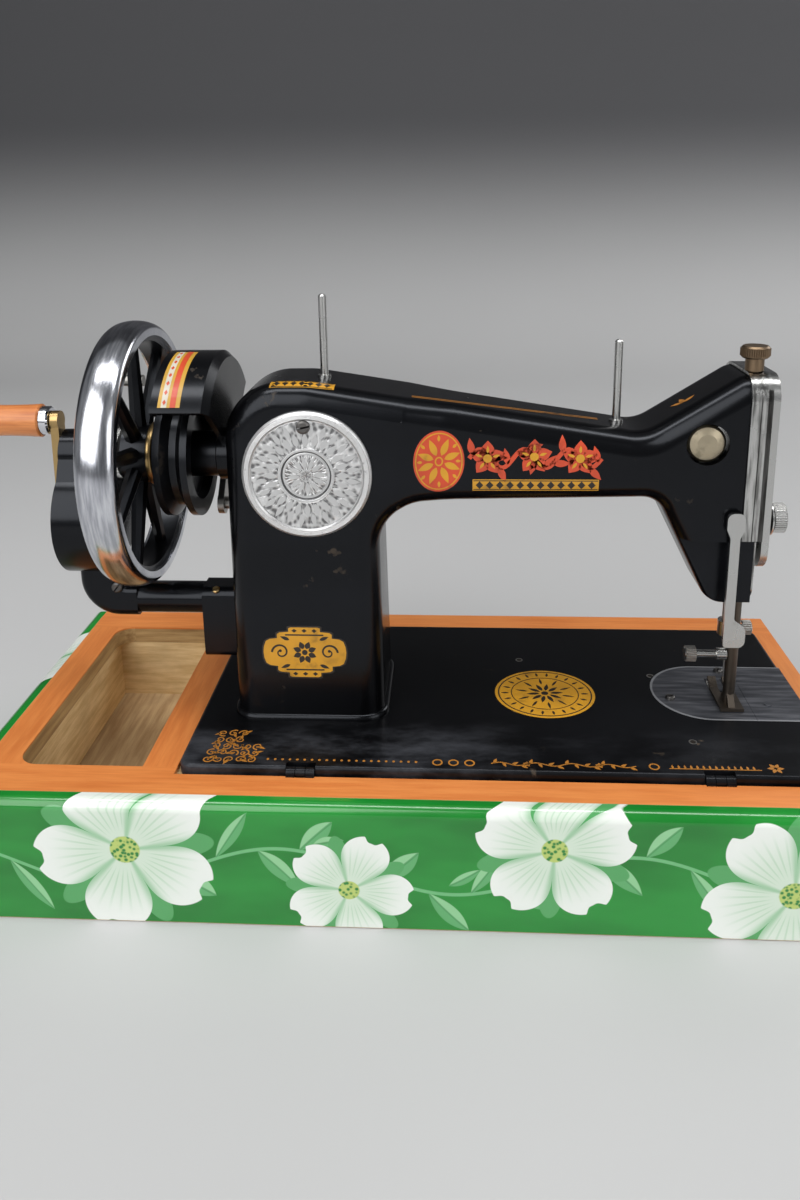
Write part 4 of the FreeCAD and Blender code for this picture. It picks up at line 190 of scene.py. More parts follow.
def distance(first, second, centre):
    """How far two coordinates are from a centre."""
    across = first - centre[0]
    along = second - centre[1]
    return (across * across + along * along) ** 0.5


def bearing(first, second, centre):
    """The angle of two coordinates about a centre."""
    return (second - centre[1]).angle(first - centre[0])


def middle(node, *axes):
    """The middle of a CAD piece along some of the axes."""
    low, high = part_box(node)
    return [(low[axis] + high[axis]) / 2 for axis in axes]


def green_laminate():
    """Glossy printed sheet on raw board: a vine, leaves and five-petalled blossoms on green."""
    paint = Paint("green_laminate", {"Coat Roughness": 0.1})
    x, y, z = paint.axes()
    along = x - y
    streaks = paint.noise(3.0, 3.0, (3.0, 3.0, 9.0))
    colour = paint.mix(streaks.step(0.3, 0.7), (12, 116, 34), (30, 144, 50))
    paper = paint.noise(160.0, 2.0)
    vine_height, vine_swing, vine_wave = 0.036, 0.013, 0.19
    rise = z - vine_height - vine_swing * (along * (tau / vine_wave)).sine()
    colour = paint.mix(abs(rise).fall(0.0008, 0.0013), colour, (112, 186, 124))
    for leaf in (  # pitch, shift, height, turn, length, width
        (0.046, 0.000, 0.012, 0.9, 0.015, 0.0048),
        (0.046, 0.021, -0.012, -0.8, 0.016, 0.0052),
        (0.073, 0.034, 0.010, 0.5, 0.010, 0.0034),
    ):
        colour = printed_leaf(paint, colour, along, rise, *leaf)
    for centre, radius, turn in (
        ((-0.292, 0.050), 0.046, 0.2),
        ((-0.186, 0.022), 0.034, 0.9),
        ((-0.036, 0.046), 0.052, 0.5),
        ((0.086, 0.024), 0.036, 0.1),
        ((0.196, 0.052), 0.044, 1.0),
        ((0.322, 0.028), 0.050, 0.3),
    ):
        colour = printed_blossom(paint, colour, (along, z), centre, radius, turn)
    fibre = paint.noise(8.0, 6.0, LEVEL, 0.65)
    pale, dark = RAW_BOARD
    raw = paint.mix(fibre.step(0.3, 0.7), dark, pale)
    inside = abs(x).fall(0.2460, 0.2464) * abs(y).fall(0.1085, 0.1089)
    underside = z.fall(0.0001, 0.0003)
    bare = inside.most(underside)
    paint.coat({"Coat Weight": 0.5 - 0.5 * bare})
    rough = 0.14 + 0.12 * paper + 0.5 * bare
    return paint.finished(paint.mix(bare, colour, raw), rough, (paper, 0.03, 0.0002))


def printed_leaf(paint, colour, along, rise, pitch, shift, height, turn, length, width):
    """A two-toned leaf with a vein, repeated along the vine and laid over a colour."""
    near = (along + shift).wrap(pitch) - pitch / 2
    high = rise - height
    ahead = near * cos(turn) + high * sin(turn)
    aside = high * cos(turn) - near * sin(turn)
    reach = ahead / length
    inside = (width * (1 - reach * reach) - abs(aside)).step(0.0, 0.0005)
    halves = paint.mix(aside.step(-0.0004, 0.0004), (96, 172, 108), (146, 204, 150))
    colour = paint.mix(inside, colour, halves)
    vein = inside * abs(aside).fall(0.0003, 0.0007)
    return paint.mix(vein * 0.7, colour, (56, 140, 74))


def printed_blossom(paint, colour, place, centre, radius, turn):
    """A flower of five notched petals over a ring of sepals, laid over a colour."""
    reach = distance(*place, centre) / radius
    swing = bearing(*place, centre) + turn
    sepal = abs(((swing + pi / 5) * 2.5).cosine()) ** 3
    colour = paint.mix((0.25 + 0.72 * sepal - reach).step(0.0, 0.02), colour, (84, 164, 96))
    lobe = abs((swing * 2.5).cosine())
    edge = 0.30 + 0.70 * lobe ** 0.36 - 0.10 * lobe.step(0.93, 1.0)
    petal = (edge - reach).step(0.0, 0.012)
    veins = (swing * 40).sine().step(0.35, 1.0) * reach.step(0.2, 0.35) * reach.fall(0.45, 0.85)
    shade = (lobe.fall(0.05, 0.5) * 0.8).most(veins * 0.35)
    white = paint.mix(reach.step(0.3, 0.9), (214, 230, 212), (240, 244, 238))
    colour = paint.mix(petal, colour, paint.mix(shade, white, (146, 196, 152)))
    seeds = paint.cells(420.0).step(0.25, 0.6)
    heart = paint.mix(seeds, (38, 128, 56), (188, 206, 112))
    return paint.mix(reach.fall(0.15, 0.17), colour, heart)


def varnished_wood(name, grain, pale, dark):
    """Orange varnish over fine straight grain, left bare where a rail faces the tray."""
    paint = Paint(name, {"Coat Weight": 0.3, "Coat Roughness": 0.22})
    fibre = paint.noise(9.0, 6.0, grain, 0.65)
    broad = paint.noise(7.0, 2.0)
    lift = tuple(min(channel + 16, 255) for channel in pale)
    colour = paint.mix(fibre.step(0.3, 0.72), dark, pale)
    colour = paint.mix(broad.step(0.45, 0.8) * 0.35, colour, lift)
    x, y, z = paint.axes()
    inside = z.fall(0.0738, 0.0742)
    near, away = 0.0001, 0.0003
    for axis, low, high in zip((x, y), *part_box("tray_floor")):
        inside = inside * axis.step(low - away, low - near) * axis.fall(high + near, high + away)
    bare = paint.mix(fibre.step(0.3, 0.7), (150, 116, 74), (196, 164, 114))
    colour = paint.mix(inside, colour, bare)
    return paint.finished(colour, 0.32 + 0.2 * fibre, (fibre, 0.12, 0.0003))


def bare_wood(name, grain, pale, dark):
    """Unpainted board with darker lines and dirt."""
    paint = Paint(name)
    fibre = paint.noise(8.0, 7.0, grain, 0.65)
    dirt = paint.noise(16.0, 4.0)
    colour = paint.mix(fibre.step(0.3, 0.7), dark, pale)
    colour = paint.mix(dirt.step(0.52, 0.8) * 0.4, colour, darker(dark, 0.68))
    return paint.finished(colour, 0.62 + 0.2 * fibre, (fibre, 0.25, 0.0004))


def black_enamel(name, gloss, wear, shine, haze=0.0):
    """Black stove enamel: wavy, smudged, worn brown in spots; haze scuffs it near the rear."""
    constants = {"Specular IOR Level": shine, "Coat Weight": 0.12, "Coat Roughness": 0.14}
    paint = Paint(name, {**constants, "Specular Tint": (0.82, 0.88, 1.0, 1)})
    smudge = paint.noise(13.0, 5.0)
    speck = paint.noise(95.0, 4.0).step(0.66, 0.74) * paint.noise(11.0, 2.0).step(0.5, 0.66)
    wipe = paint.noise(5.0, 3.0, (1.0, 1.0, 3.0))
    colour = paint.mix(wipe.step(0.4, 0.75), (5, 5, 6), (13, 14, 17))
    if haze:
        x, y = paint.axes()[:2]
        rubbed = paint.noise(17.0, 6.0, (0.6, 1.4, 1.0), 0.7).step(0.42, 0.72)
        near = y.fall(-0.072, -0.03) * (1 - x.step(-0.02, 0.12) * 0.7)
        colour = paint.mix(rubbed * near * haze, colour, (86, 88, 94))
    colour = paint.mix(speck * wear, colour, (92, 80, 66))
    waves = (paint.noise(34.0, 2.0), 0.1, 0.0005)
    return paint.finished(colour, gloss + 0.22 * smudge + 0.3 * speck, waves)


def bright_metal(name, colour, gloss, smear):
    """Plated or polished metal with smears and faint stains."""
    paint = Paint(name, {"Metallic": 1.0})
    smudge = paint.noise(22.0, 5.0)
    stain = paint.noise(60.0, 4.0).step(0.62, 0.8)
    shade = paint.mix(stain * 0.5, colour, darker(colour, 0.68))
    return paint.finished(shade, gloss + smear * smudge)


def rim_chrome():
    """Plated rim: fine scratches that run round it, and dull patches."""
    paint = Paint("rim_chrome", {"Metallic": 1.0})
    x, y, z = paint.axes()
    centre = WHEEL_Z * MM
    far = distance(y, z, (0.0, centre))
    laid_round = {0: x * 420, 1: y / far * 3, 2: (z - centre) / far * 3}
    scratch = paint.noise(1.0, 5.0, paint.node("ShaderNodeCombineXYZ", laid_round))
    smudge = paint.noise(26.0, 4.0)
    colour = paint.mix(scratch.step(0.35, 0.7), (172, 174, 182), (224, 226, 232))
    return paint.finished(colour, 0.07 + 0.13 * scratch + 0.1 * smudge, (scratch, 0.05, 0.0002))


def ground_steel(name, colour, rough, patch=48.0):
    """Machined steel: fine lines and dull patches."""
    paint = Paint(name, {"Metallic": 1.0})
    lines = paint.noise(40.0, 3.0, (1.0, 1.0, 14.0))
    stain = paint.noise(patch, 4.0)
    shade = paint.mix(stain.step(0.5, 0.78) * 0.7, colour, darker(colour, 0.6))
    return paint.finished(shade, rough + 0.2 * lines, (lines, 0.08, 0.0002))


def face_nickel():
    """The face plate's bright sheet; the dark lines down its bent edges are painted shade, sunk
    in relief as grooves.
    """
    paint = Paint("face_nickel", {"Metallic": 1.0})
    x, y = paint.axes()[:2]
    smudge = paint.noise(22.0, 5.0)
    drawn = paint.noise(60.0, 3.0, (6.0, 6.0, 0.6))
    side = abs(y).step(0.0284, 0.0290)
    groove = x.step(0.1950, 0.1953) * x.fall(0.1957, 0.1960)
    crease_shade = side * groove.most(x.step(0.1986, 0.1990))
    colour = paint.mix(drawn.step(0.38, 0.66), (204, 204, 202), (116, 116, 114))
    # dark lines painted as shade down the groove and the bent edge of each side
    colour = paint.mix(crease_shade * 0.85, colour, (40, 38, 36))
    return paint.finished(colour, 0.14 + 0.22 * smudge, (crease_shade * -1.0, 0.5, 0.0004))


def bed_steel():
    """Dark blued steel of the needle plate and slide, bright along the rounded edge."""
    paint = Paint("bed_steel", {"Metallic": 0.7})
    low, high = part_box("needle_plate")
    half = (high[1] - low[1]) / 2
    x, y = paint.axes()[:2]
    reach = (low[0] + half - x).most(0.0)
    far = (reach * reach + y * y) ** 0.5
    edge = far.step(half - 0.0016, half - 0.0007)
    scratch = paint.noise(36.0, 4.0, (1.0, 9.0, 1.0))
    colour = paint.mix(scratch.step(0.35, 0.75), (78, 80, 86), (122, 124, 130))
    colour = paint.mix(edge, colour, (176, 178, 182))
    return paint.finished(colour, 0.3 + 0.2 * scratch, (scratch, 0.06, 0.0002))


def engraved_silver():
    """The rear cover's bright face: stippled leaf ring and heart between plain turned rings."""
    paint = Paint("engraved_silver", {"Metallic": 0.85})
    place = paint.axes()[::2]
    centre = middle("rear_cover", 0, 2)
    far = distance(*place, centre)
    ring = far.step(0.0160, 0.0166) * far.fall(0.0318, 0.0324)
    heart = far.fall(0.0120, 0.0126)
    groove = far.step(0.0136, 0.0139) * far.fall(0.0144, 0.0147)
    winding = {0: bearing(*place, centre) * 6.0, 1: far * 150.0}
    wound = paint.node("ShaderNodeCombineXYZ", winding)
    flakes = paint.cells(2.2, wound, "SMOOTH_F1")
    grain = paint.noise(420.0, 3.0)
    turned_line = 0.0017
    lines = abs((far * (tau / turned_line)).sine())
    worked = ring.most(heart)
    cut = (worked * flakes.fall(0.16, 0.62)).most(groove)
    relief = 1.2 * worked * flakes + (1 - ring) * lines * 0.12 + grain * 0.25 - groove
    dull = (cut * 0.85).most(grain.step(0.58, 0.75) * 0.35)
    colour = paint.mix(dull, (232, 232, 232), (74, 74, 76))
    return paint.finished(colour, 0.28 + 0.22 * grain, (relief, 0.7, 0.0009))


def transfer_ink(name, colour, worn):
    """A transfer's printed colour, rubbed thin in places."""
    paint = Paint(name, {"Coat Weight": 0.3, "Coat Roughness": 0.2})
    rub = paint.noise(120.0, 5.0).step(0.52, 0.72) * paint.noise(26.0, 2.0).step(0.35, 0.7)
    tone = paint.noise(60.0, 2.0)
    fresh = paint.mix(tone, colour, darker(colour, 0.8))
    shade = paint.mix(rub * worn, fresh, (40, 30, 20))
    return paint.finished(shade, 0.34 + 0.2 * tone)


def linked(name, data):
    """A new object in the scene."""
    made = bpy.data.objects.new(name, data)
    scene.collection.objects.link(made)
    return made


def mesh_object(name, shape, material):
    """A finished object from a bmesh, at the origin."""
    mesh = bpy.data.meshes.new(name)
    shape.to_mesh(mesh)
    shape.free()
    mesh.materials.append(material)
    return linked(name, mesh)


def clean(shape):
    """Join corners that meet and turn all faces outward."""
    bmesh.ops.remove_doubles(shape, verts=shape.verts, dist=SAME_POINT)
    bmesh.ops.recalc_face_normals(shape, faces=shape.faces)


def keep(piece, body):
    """Let a piece move with a body."""
    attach(piece, body)


def surface_of(node):
    """The faces of a CAD piece, for finding points on them."""
    mesh = nodes[node].data
    places = [vertex.co for vertex in mesh.vertices]
    return BVHTree.FromPolygons(places, [tuple(face.vertices) for face in mesh.polygons])


def span(u, v, half):
    """Two drawing points, level and as far to either side."""
    return (u - half, v), (u + half, v)


# How far printed layers stand off the surface, in millimetres.
GROUND, PRINT, TOP_PRINT = 0.12, 0.2, 0.28


class Transfer:
    """Thin printed shapes laid on a piece; drawn across and along, in millimetres."""

    CLEAR = 60.0  # where the rays that find the surface start
    SUNK = 0.06  # how deep the underside lies in the surface
    CELL = 3.0  # longest stretch between points that touch the surface

    def __init__(self, node, origin, across, along, lift=GROUND):
        self.surface = surface_of(node)
        self.origin = Vector(origin)
        self.across = Vector(across).normalized()
        self.along = Vector(along).normalized()
        self.lift = lift
        self.shape = bmesh.new()

    def sight(self, u, v):
        """Where a drawing point's ray starts, and its direction."""
        outward = self.across.cross(self.along)
        start = self.origin + self.across * u + self.along * v + outward * self.CLEAR
        return start * MM, -outward

    def touch(self, u, v):
        """The point just above the surface and the one just below it."""
        start, inward = self.sight(u, v)
        place = self.surface.ray_cast(start, inward)[0]
        return place - inward * self.lift * MM, place + inward * self.SUNK * MM

    def ribbon(self, rows, closed=False):
        """A thin strip through pairs of drawing points, cut finely to hug the surface."""
        cuts = max(1, ceil(max(dist(*row) for row in rows) / self.CELL))
        loops = []
        for first, second in rows:
            spots = [Vector(first).lerp(Vector(second), share) for share in evenly(0, 1, cuts)]
            touched = [self.touch(*spot) for spot in spots]
            corners = [high for high, low in touched] + [low for high, low in reversed(touched)]
            loops.append([self.shape.verts.new(corner) for corner in corners])
        pairs = list(zip(loops, loops[1:]))
        if closed:
            pairs.append((loops[-1], loops[0]))
        else:
            self.shape.faces.new(loops[0])
            self.shape.faces.new(reversed(loops[-1]))
        size = 2 * cuts + 2
        for here, there in pairs:
            for side in range(size):
                after = (side + 1) % size
                self.shape.faces.new((here[side], here[after], there[after], there[side]))

    def disc(self, u, v, wide, tall, steps=18):
        """A filled oval."""
        angles = evenly(-pi / 2, pi / 2, steps)
        self.ribbon([span(u, v + tall * sin(a), wide * max(cos(a), 0.01)) for a in angles])

    def ring(self, u, v, wide, tall, width, steps=36):
        """An oval band."""
        rows = []
        for angle in evenly(0, tau, steps)[:-1]:
            across, along = cos(angle), sin(angle)
            inner = (u + (wide - width) * across, v + (tall - width) * along)
            rows.append((inner, (u + wide * across, v + tall * along)))
        self.ribbon(rows, True)

    def line(self, points, width, taper=1.0):
        """A stroke through drawing points, its width going from full to a share of it."""
        rows = []
        last = len(points) - 1
        for number, (u, v) in enumerate(points):
            before = points[max(number - 1, 0)]
            after = points[min(number + 1, last)]
            run = Vector((after[0] - before[0], after[1] - before[1])).normalized()
            half = width / 2 * (1 + (taper - 1) * number / last)
            across, along = run.y * half, run.x * half
            rows.append(((u + across, v - along), (u - across, v + along)))
        self.ribbon(rows)

    def leaf(self, u, v, turn, length, width, steps=7):
        """A pointed leaf that starts at a drawing point."""
        ahead = Vector((cos(turn), sin(turn)))
        aside = Vector((-ahead.y, ahead.x))
        rows = []
        for share in evenly(0, 1, steps):
            half = aside * width / 2 * max(sin(pi * share ** 0.8), 0.02)
            spot = Vector((u, v)) + ahead * length * share
            rows.append((tuple(spot - half), tuple(spot + half)))
        self.ribbon(rows)

    def petals(self, u, v, count, inner, outer, width, turn=0.0, stretch=1.0):
        """Leaves set round a centre."""
        for angle in evenly(turn, turn + tau, count)[:-1]:
            grown = 1 + (stretch - 1) * abs(sin(angle))
            start = inner * grown
            place = (u + start * cos(angle), v + start * sin(angle))
            self.leaf(*place, angle, (outer - inner) * grown, width)

    def scroll(self, u, v, turn, size, width, side, winds=1.2, steps=26):
        """A spiral that ends in a bud."""
        points = []
        for share in evenly(0, 1, steps):
            angle = turn + side * tau * winds * share
            reach = size * (1 - 0.82 * share)
            points.append((u + reach * cos(angle), v + reach * sin(angle)))
        self.line(points, width, 0.55)
        self.disc(*points[-1], width * 0.7, width * 0.7, 8)

    def diamonds(self, places, wide, tall):
        """Diamond shapes at drawing points."""
        tip = 0.02
        rows = [(-tall, tip), (0, wide), (tall, tip)]
        for u, v in places:
            self.ribbon([span(u, v + height, half) for height, half in rows])

    def make(self, name, material, slot):
        clean(self.shape)
        keep(mesh_object(name, self.shape, material), "head")


class RoundTransfer(Transfer):
    """A transfer on a drum about an axis along X: drawn along X and by degrees from the top."""

    def sight(self, u, v):
        angle = radians(v)
        outward = Vector((0, -sin(angle), cos(angle)))
        return (self.origin + X_AXIS * u + outward * 1.5 * self.CLEAR) * MM, -outward


BED_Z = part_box("bed_plate")[1][2] / MM


def on_bed(lift=GROUND):
    """The bed's top, drawn by x and y."""
    return Transfer("bed_plate", (0, 0, BED_Z), X_AXIS, Y_AXIS, lift)


def on_rear(lift=GROUND):
    """The arm casting's rear side, drawn by x and z."""
    return Transfer("arm_casting", (0, -40, 0), X_AXIS, Z_AXIS, lift)


def on_crest(place, lift=GROUND):
    """The arm's top where it falls to the rear, drawn from a place on it."""
    return Transfer("arm_casting", place, X_AXIS, (0, 0.86, 0.5), lift)


def garland(transfer, points, width, leaf, blooms):
    """A waving stem with leaves on both sides and small blossoms."""
    transfer.line(points, width)
    for number in range(1, len(points) - 1, 3):
        (u, v), (after_u, after_v) = points[number], points[number + 1]
        course = atan2(after_v - v, after_u - u)
        side = 1 if number % 2 else -1
        transfer.leaf(u, v, course + side * 0.9, leaf, leaf * 0.42)
    for u, v, size in blooms:
        transfer.petals(u, v, 5, size * 0.1, size, size * 0.72, 0.3)


def wave(start, end, level, height, waves, steps):
    """Drawing points of a waving line."""
    turns = evenly(0, tau * waves, steps)
    levels = [level + height * sin(turn) for turn in turns]
    return list(zip(evenly(start, end, steps), levels))


BORDER_Y = -82.0  # the printed border's line near the bed's rear edge


def bed_transfers(orange, gold, ink):
    """Corner scrolls, border vine and the oval in the bed's middle."""
    corner = on_bed()
    for row in range(5):
        for column in range(5 if row < 3 else 3):
            side = 1 if (row + column) % 2 else -1
            place = (-114.5 + 6.2 * column + 0.8 * row, -83.0 + 6.6 * row)
            corner.scroll(*place, 1.3 * row + 2.1 * column, 3.3, 0.9, side, 1.1, 18)
            corner.leaf(*place, 0.8 + 1.7 * column - 0.9 * row, 5.2, 1.7)
    corner.make("bed_corner_scrolls", orange, "brass")
    border = on_bed()
    stem = wave(46, 126, BORDER_Y, 1.4, 4, 48)
    garland(border, stem, 0.7, 4.4, [(66, BORDER_Y, 2.4), (106, BORDER_Y, 2.4)])
    for u in (16, 25, 34, 136):
        border.ring(u, BORDER_Y, 3.0, 3.0, 0.9)
    fringe = BORDER_Y - 1.4
    for number in range(14):
        border.leaf(146 + 3.4 * number, fringe, pi / 2, 3.4, 1.3)
    border.line([(144, fringe), (194, fringe)], 0.6)
    border.petals(202, -81.5, 6, 0.8, 4.6, 2.2)
    border.make("bed_border_vine", orange, "brass")
    u, v = 82.8, -5.0
    oval = on_bed()
    oval.disc(u, v, 31.5, 29.0, 30)
    oval.make("bed_oval", gold, "brass")
    drawn = on_bed(PRINT)
    drawn.ring(u, v, 29.6, 27.2, 0.8, 60)
    drawn.ring(u, v, 21.4, 19.4, 0.6, 60)
    drawn.petals(u, v, 22, 22.8, 27.6, 1.6, 0.0, 0.93)
    drawn.petals(u, v, 10, 3.4, 11.5, 2.6, 0.1)
    drawn.petals(u, v, 10, 11.0, 18.6, 1.6, 0.42)
    drawn.disc(u, v, 2.2, 2.2, 10)
    drawn.make("bed_oval_print", ink, "black_paint")


PLAQUE = (-64.0, 123.6)


def plaque_rows(grow):
    """Rows of the plaque's stepped and rounded outline."""
    tall = 17.0
    upper = (
        (0.0, 26.0), (4.0, 25.6), (7.5, 24.4), (9.0, 22.0), (9.6, 17.5),
        (12.4, 17.5), (13.4, 16.0), (14.0, 10.5), (16.4, 10.5), (tall, 9.0),
    )
    lower = [(-height, half) for height, half in upper[:0:-1]]
    u, v = PLAQUE
    grown = 1 + grow / tall
    return [span(u, v + height * grown, half + grow) for height, half in (*lower, *upper)]


def pillar_transfers(gold, ink):
    """The plaque on the pillar's rear side and the bar on its crest."""
    u, v = PLAQUE
    edge = on_rear()
    edge.ribbon(plaque_rows(0.0))
    edge.make("pillar_plaque", ink, "black_paint")
    plaque = on_rear(PRINT)
    plaque.ribbon(plaque_rows(-1.0))
    plaque.make("pillar_plaque_gold", gold, "brass")
    drawn = on_rear(TOP_PRINT)
    drawn.petals(u, v, 8, 2.4, 7.4, 3.4, 0.39)
    drawn.disc(u, v, 1.7, 1.7, 10)
    for side in (-1, 1):
        drawn.scroll(u + side * 14.5, v, 1.57 - side * 1.57, 5.4, 1.3, side)
        for up in (1, -1):
            drawn.leaf(u + side * 9.0, v + up * 8.0, up * (1.57 - side * 1.2), 6.0, 2.2)
        drawn.line([(u - 11.5, v + side * 11.2), (u + 11.5, v + side * 11.2)], 0.9)
        drawn.diamonds([(u + step, v + side * 13.9) for step in (-6, 0, 6)], 1.6, 1.2)
    drawn.make("pillar_plaque_print", ink, "black_paint")
    crest = (-61.5, -22.5, 283.5)
    bar = on_crest(crest)
    bar.line([(step, 0) for step in evenly(-18.5, 18.5, 8)], 8.0)
    bar.make("crest_bar", gold, "brass")
    marks = on_crest(crest, PRINT)
    marks.diamonds([(-14.4 + 4.8 * number, 0) for number in range(7)], 1.9, 2.6)
    for level in (-3.3, 3.3):
        marks.line([(step, level) for step in evenly(-17.5, 17.5, 8)], 0.5)
    marks.make("crest_bar_print", ink, "black_paint")


def arm_transfers(orange, gold, ink, red):
    """Rosette, garland and strip on the arm's rear side, fine lines along its top."""
    u, v = 16.7, 240.5
    ground = on_rear()
    ground.disc(u, v, 14.6, 18.2, 26)
    ground.make("arm_rosette", red, "black_paint")
    petals = on_rear(PRINT)
    petals.ring(u, v, 13.6, 17.0, 0.7, 48)
    petals.petals(u, v, 8, 3.2, 12.0, 4.0, 0.39, 1.2)
    petals.petals(u, v, 8, 9.5, 12.6, 1.7, 0.0, 1.25)
    petals.ring(u, v, 2.4, 2.8, 0.8, 20)
    petals.make("arm_rosette_gold", gold, "brass")
    chain = on_rear()
    blooms = [(44.5, 242, 10.5), (71, 243, 10.5), (97, 242, 10.5)]
    garland(chain, wave(34, 109, 242, 5.5, 3, 44), 2.6, 10.0, blooms)
    chain.make("arm_garland", red, "black_paint")
    hearts = on_rear(PRINT)
    for u, v, size in blooms:
        hearts.disc(u, v, size * 0.24, size * 0.24, 12)
        hearts.petals(u, v, 5, size * 0.3, size * 0.72, size * 0.16, 0.3)
    hearts.make("arm_garland_gold", gold, "brass")
    strip_z = 226
    strip = on_rear()
    strip.line([(36, strip_z), (108, strip_z)], 7.0)
    strip.make("arm_strip", gold, "brass")
    marks = on_rear(PRINT)
    marks.diamonds([(40 + 5.82 * number, strip_z) for number in range(12)], 2.2, 2.4)
    for level in (strip_z - 2.7, strip_z + 2.7):
        marks.line([(36.5, level), (107.5, level)], 0.5)
    marks.make("arm_strip_print", ink, "black_paint")
    fine = on_crest((0, -10, 270))
    for low in (-4.0, -1.8):
        fine.line(list(zip(evenly(1, 110, 20), evenly(low, low + 5.5, 20))), 0.8)
    for turn in (0.5, 1.7, 2.7):
        fine.leaf(158.7, 4.0, turn, 7.0, 2.6)
    fine.make("arm_top_lines", orange, "brass")


def cover_leaves(silver):
    """Raised leaves and rings worked on the rear cover."""
    u, v = [place / MM for place in middle("rear_cover", 0, 2)]
    leaves = Transfer("rear_cover", (0, -40, 0), X_AXIS, Z_AXIS, 0.3)
    leaves.petals(u, v, 24, 17.4, 25.4, 3.4)
    leaves.petals(u, v, 24, 23.0, 31.2, 3.0, pi / 24)
    leaves.petals(u, v, 12, 4.2, 11.4, 2.6, 0.1)
    for radius in (13.0, 15.8, 33.2):
        leaves.ring(u, v, radius, radius, 0.7, 72)
    leaves.ring(u, v, 3.6, 3.6, 0.7, 24)
    leaves.make("cover_leaves", silver, "chrome")


def guard_transfers(yellow, white, red):
    """The painted band round the belt guard's rim."""
    for name, material, low, high, lift in (
        ("guard_band_yellow", yellow, -138.6, -126.0, GROUND),
        ("guard_band_white", white, -136.6, -133.4, PRINT),
        ("guard_band_red", red, -131.6, -128.4, TOP_PRINT),
    ):
        band = RoundTransfer("belt_guard", (0, 0, WHEEL_Z), X_AXIS, Y_AXIS, lift)
        band.ribbon([((low, angle), (high, angle)) for angle in evenly(3, 51, 16)])
        if name.endswith("red"):
            band.diamonds([(-135.0, 6 + 6.0 * number) for number in range(8)], 1.0, 1.6)
        band.make(name, material, "black_paint")


def seat_mesh(name, rows):
    """A mesh of lone points, each with the axis, turn and size of what stands on it."""
    mesh = bpy.data.meshes.new(name)
    mesh.from_pydata([Vector(row[0]) * MM for row in rows], [], [])
    for label, kind in (("axis", "FLOAT_VECTOR"), ("turn", "FLOAT"), ("size", "FLOAT")):
        mesh.attributes.new(label, kind, "POINT")
    for number, (_, axis, turn, size) in enumerate(rows):
        mesh.attributes["axis"].data[number].vector = axis
        mesh.attributes["turn"].data[number].value = turn
        mesh.attributes["size"].data[number].value = size
    return mesh


class Setter(Graph):
    """A geometry tree with named sizes that sets one shape on every seat."""

    def __init__(self, name, sizes):
        super().__init__(bpy.data.node_groups.new(name, "GeometryNodeTree"))
        self.socket("Geometry", "Geometry")
        self.socket("Material", "Material")
        for size, value in sizes.items():
            kind = "Int" if isinstance(value, int) else "Float"
            self.socket(size, kind).default_value = value
        self.socket("Geometry", "Geometry", "OUTPUT")
        self.entry = self.tree.nodes.new("NodeGroupInput")

    def socket(self, name, kind, way="INPUT"):
        kind = "NodeSocket" + kind
        return self.tree.interface.new_socket(name, in_out=way, socket_type=kind)

    def size(self, name):
        return Value(self, self.entry.outputs[name])

    def attribute(self, name, kind):
        return self.node("GeometryNodeInputNamedAttribute", {"Name": name}, data_type=kind)

    def stand(self, shape):
        """Stand a shape on each seat, realize it, give it its material and end the tree."""
        axis = self.attribute("axis", "FLOAT_VECTOR")
        upright = self.node("FunctionNodeAlignRotationToVector", {"Vector": axis}, axis="Z")
        angle = {"Angle": self.attribute("turn", "FLOAT")}
        spin = self.node("FunctionNodeAxisAngleToRotation", angle)
        turns = {"Rotation": upright, "Rotate By": spin}
        seats = {
            "Points": self.size("Geometry"),
            "Instance": shape,
            "Rotation": self.node("FunctionNodeRotateRotation", turns, rotation_space="LOCAL"),
            "Scale": self.attribute("size", "FLOAT"),
        }
        placed = self.node("GeometryNodeInstanceOnPoints", seats)
        real = self.node("GeometryNodeRealizeInstances", {"Geometry": placed})
        inputs = {"Geometry": real, "Material": self.size("Material")}
        done = self.node("GeometryNodeSetMaterial", inputs)
        self.feed(self.tree.nodes.new("NodeGroupOutput").inputs[0], done)

    def make(self, name, rows, material, body, slot, sizes=None):
        """Run the tree on seats and keep the result as a plain piece."""
        made = linked(name, seat_mesh(name, rows))
        modifier = made.modifiers.new("former", "NODES")
        modifier.node_group = self.tree
        values = {"Material": material, **(sizes or {})}
        for item in self.tree.interface.items_tree:
            if item.in_out == "INPUT" and item.name in values:
                modifier[item.identifier] = values[item.name]
        graph = bpy.context.evaluated_depsgraph_get()
        made.data = bpy.data.meshes.new_from_object(made.evaluated_get(graph))
        made.modifiers.clear()
        keep(made, body)

    def frustum(self, sides, bottom, top, height):
        sockets = {"Vertices": sides, "Radius Top": top, "Radius Bottom": bottom, "Depth": height}
        return self.node("GeometryNodeMeshCone", sockets)

    def raised(self, shape, height):
        place = self.node("ShaderNodeCombineXYZ", {"Z": height})
        return self.node("GeometryNodeTransform", {"Geometry": shape, "Translation": place})

    def carved(self, operation, first, second):
        """A boolean of two shapes."""
        made = self.tree.nodes.new("GeometryNodeMeshBoolean")
        made.operation = operation
        taken_from = "Mesh 1" if operation == "DIFFERENCE" else "Mesh 2"
        self.feed(made.inputs[taken_from], first)
        self.feed(made.inputs["Mesh 2"], second)
        return Value(self, made.outputs["Mesh"])


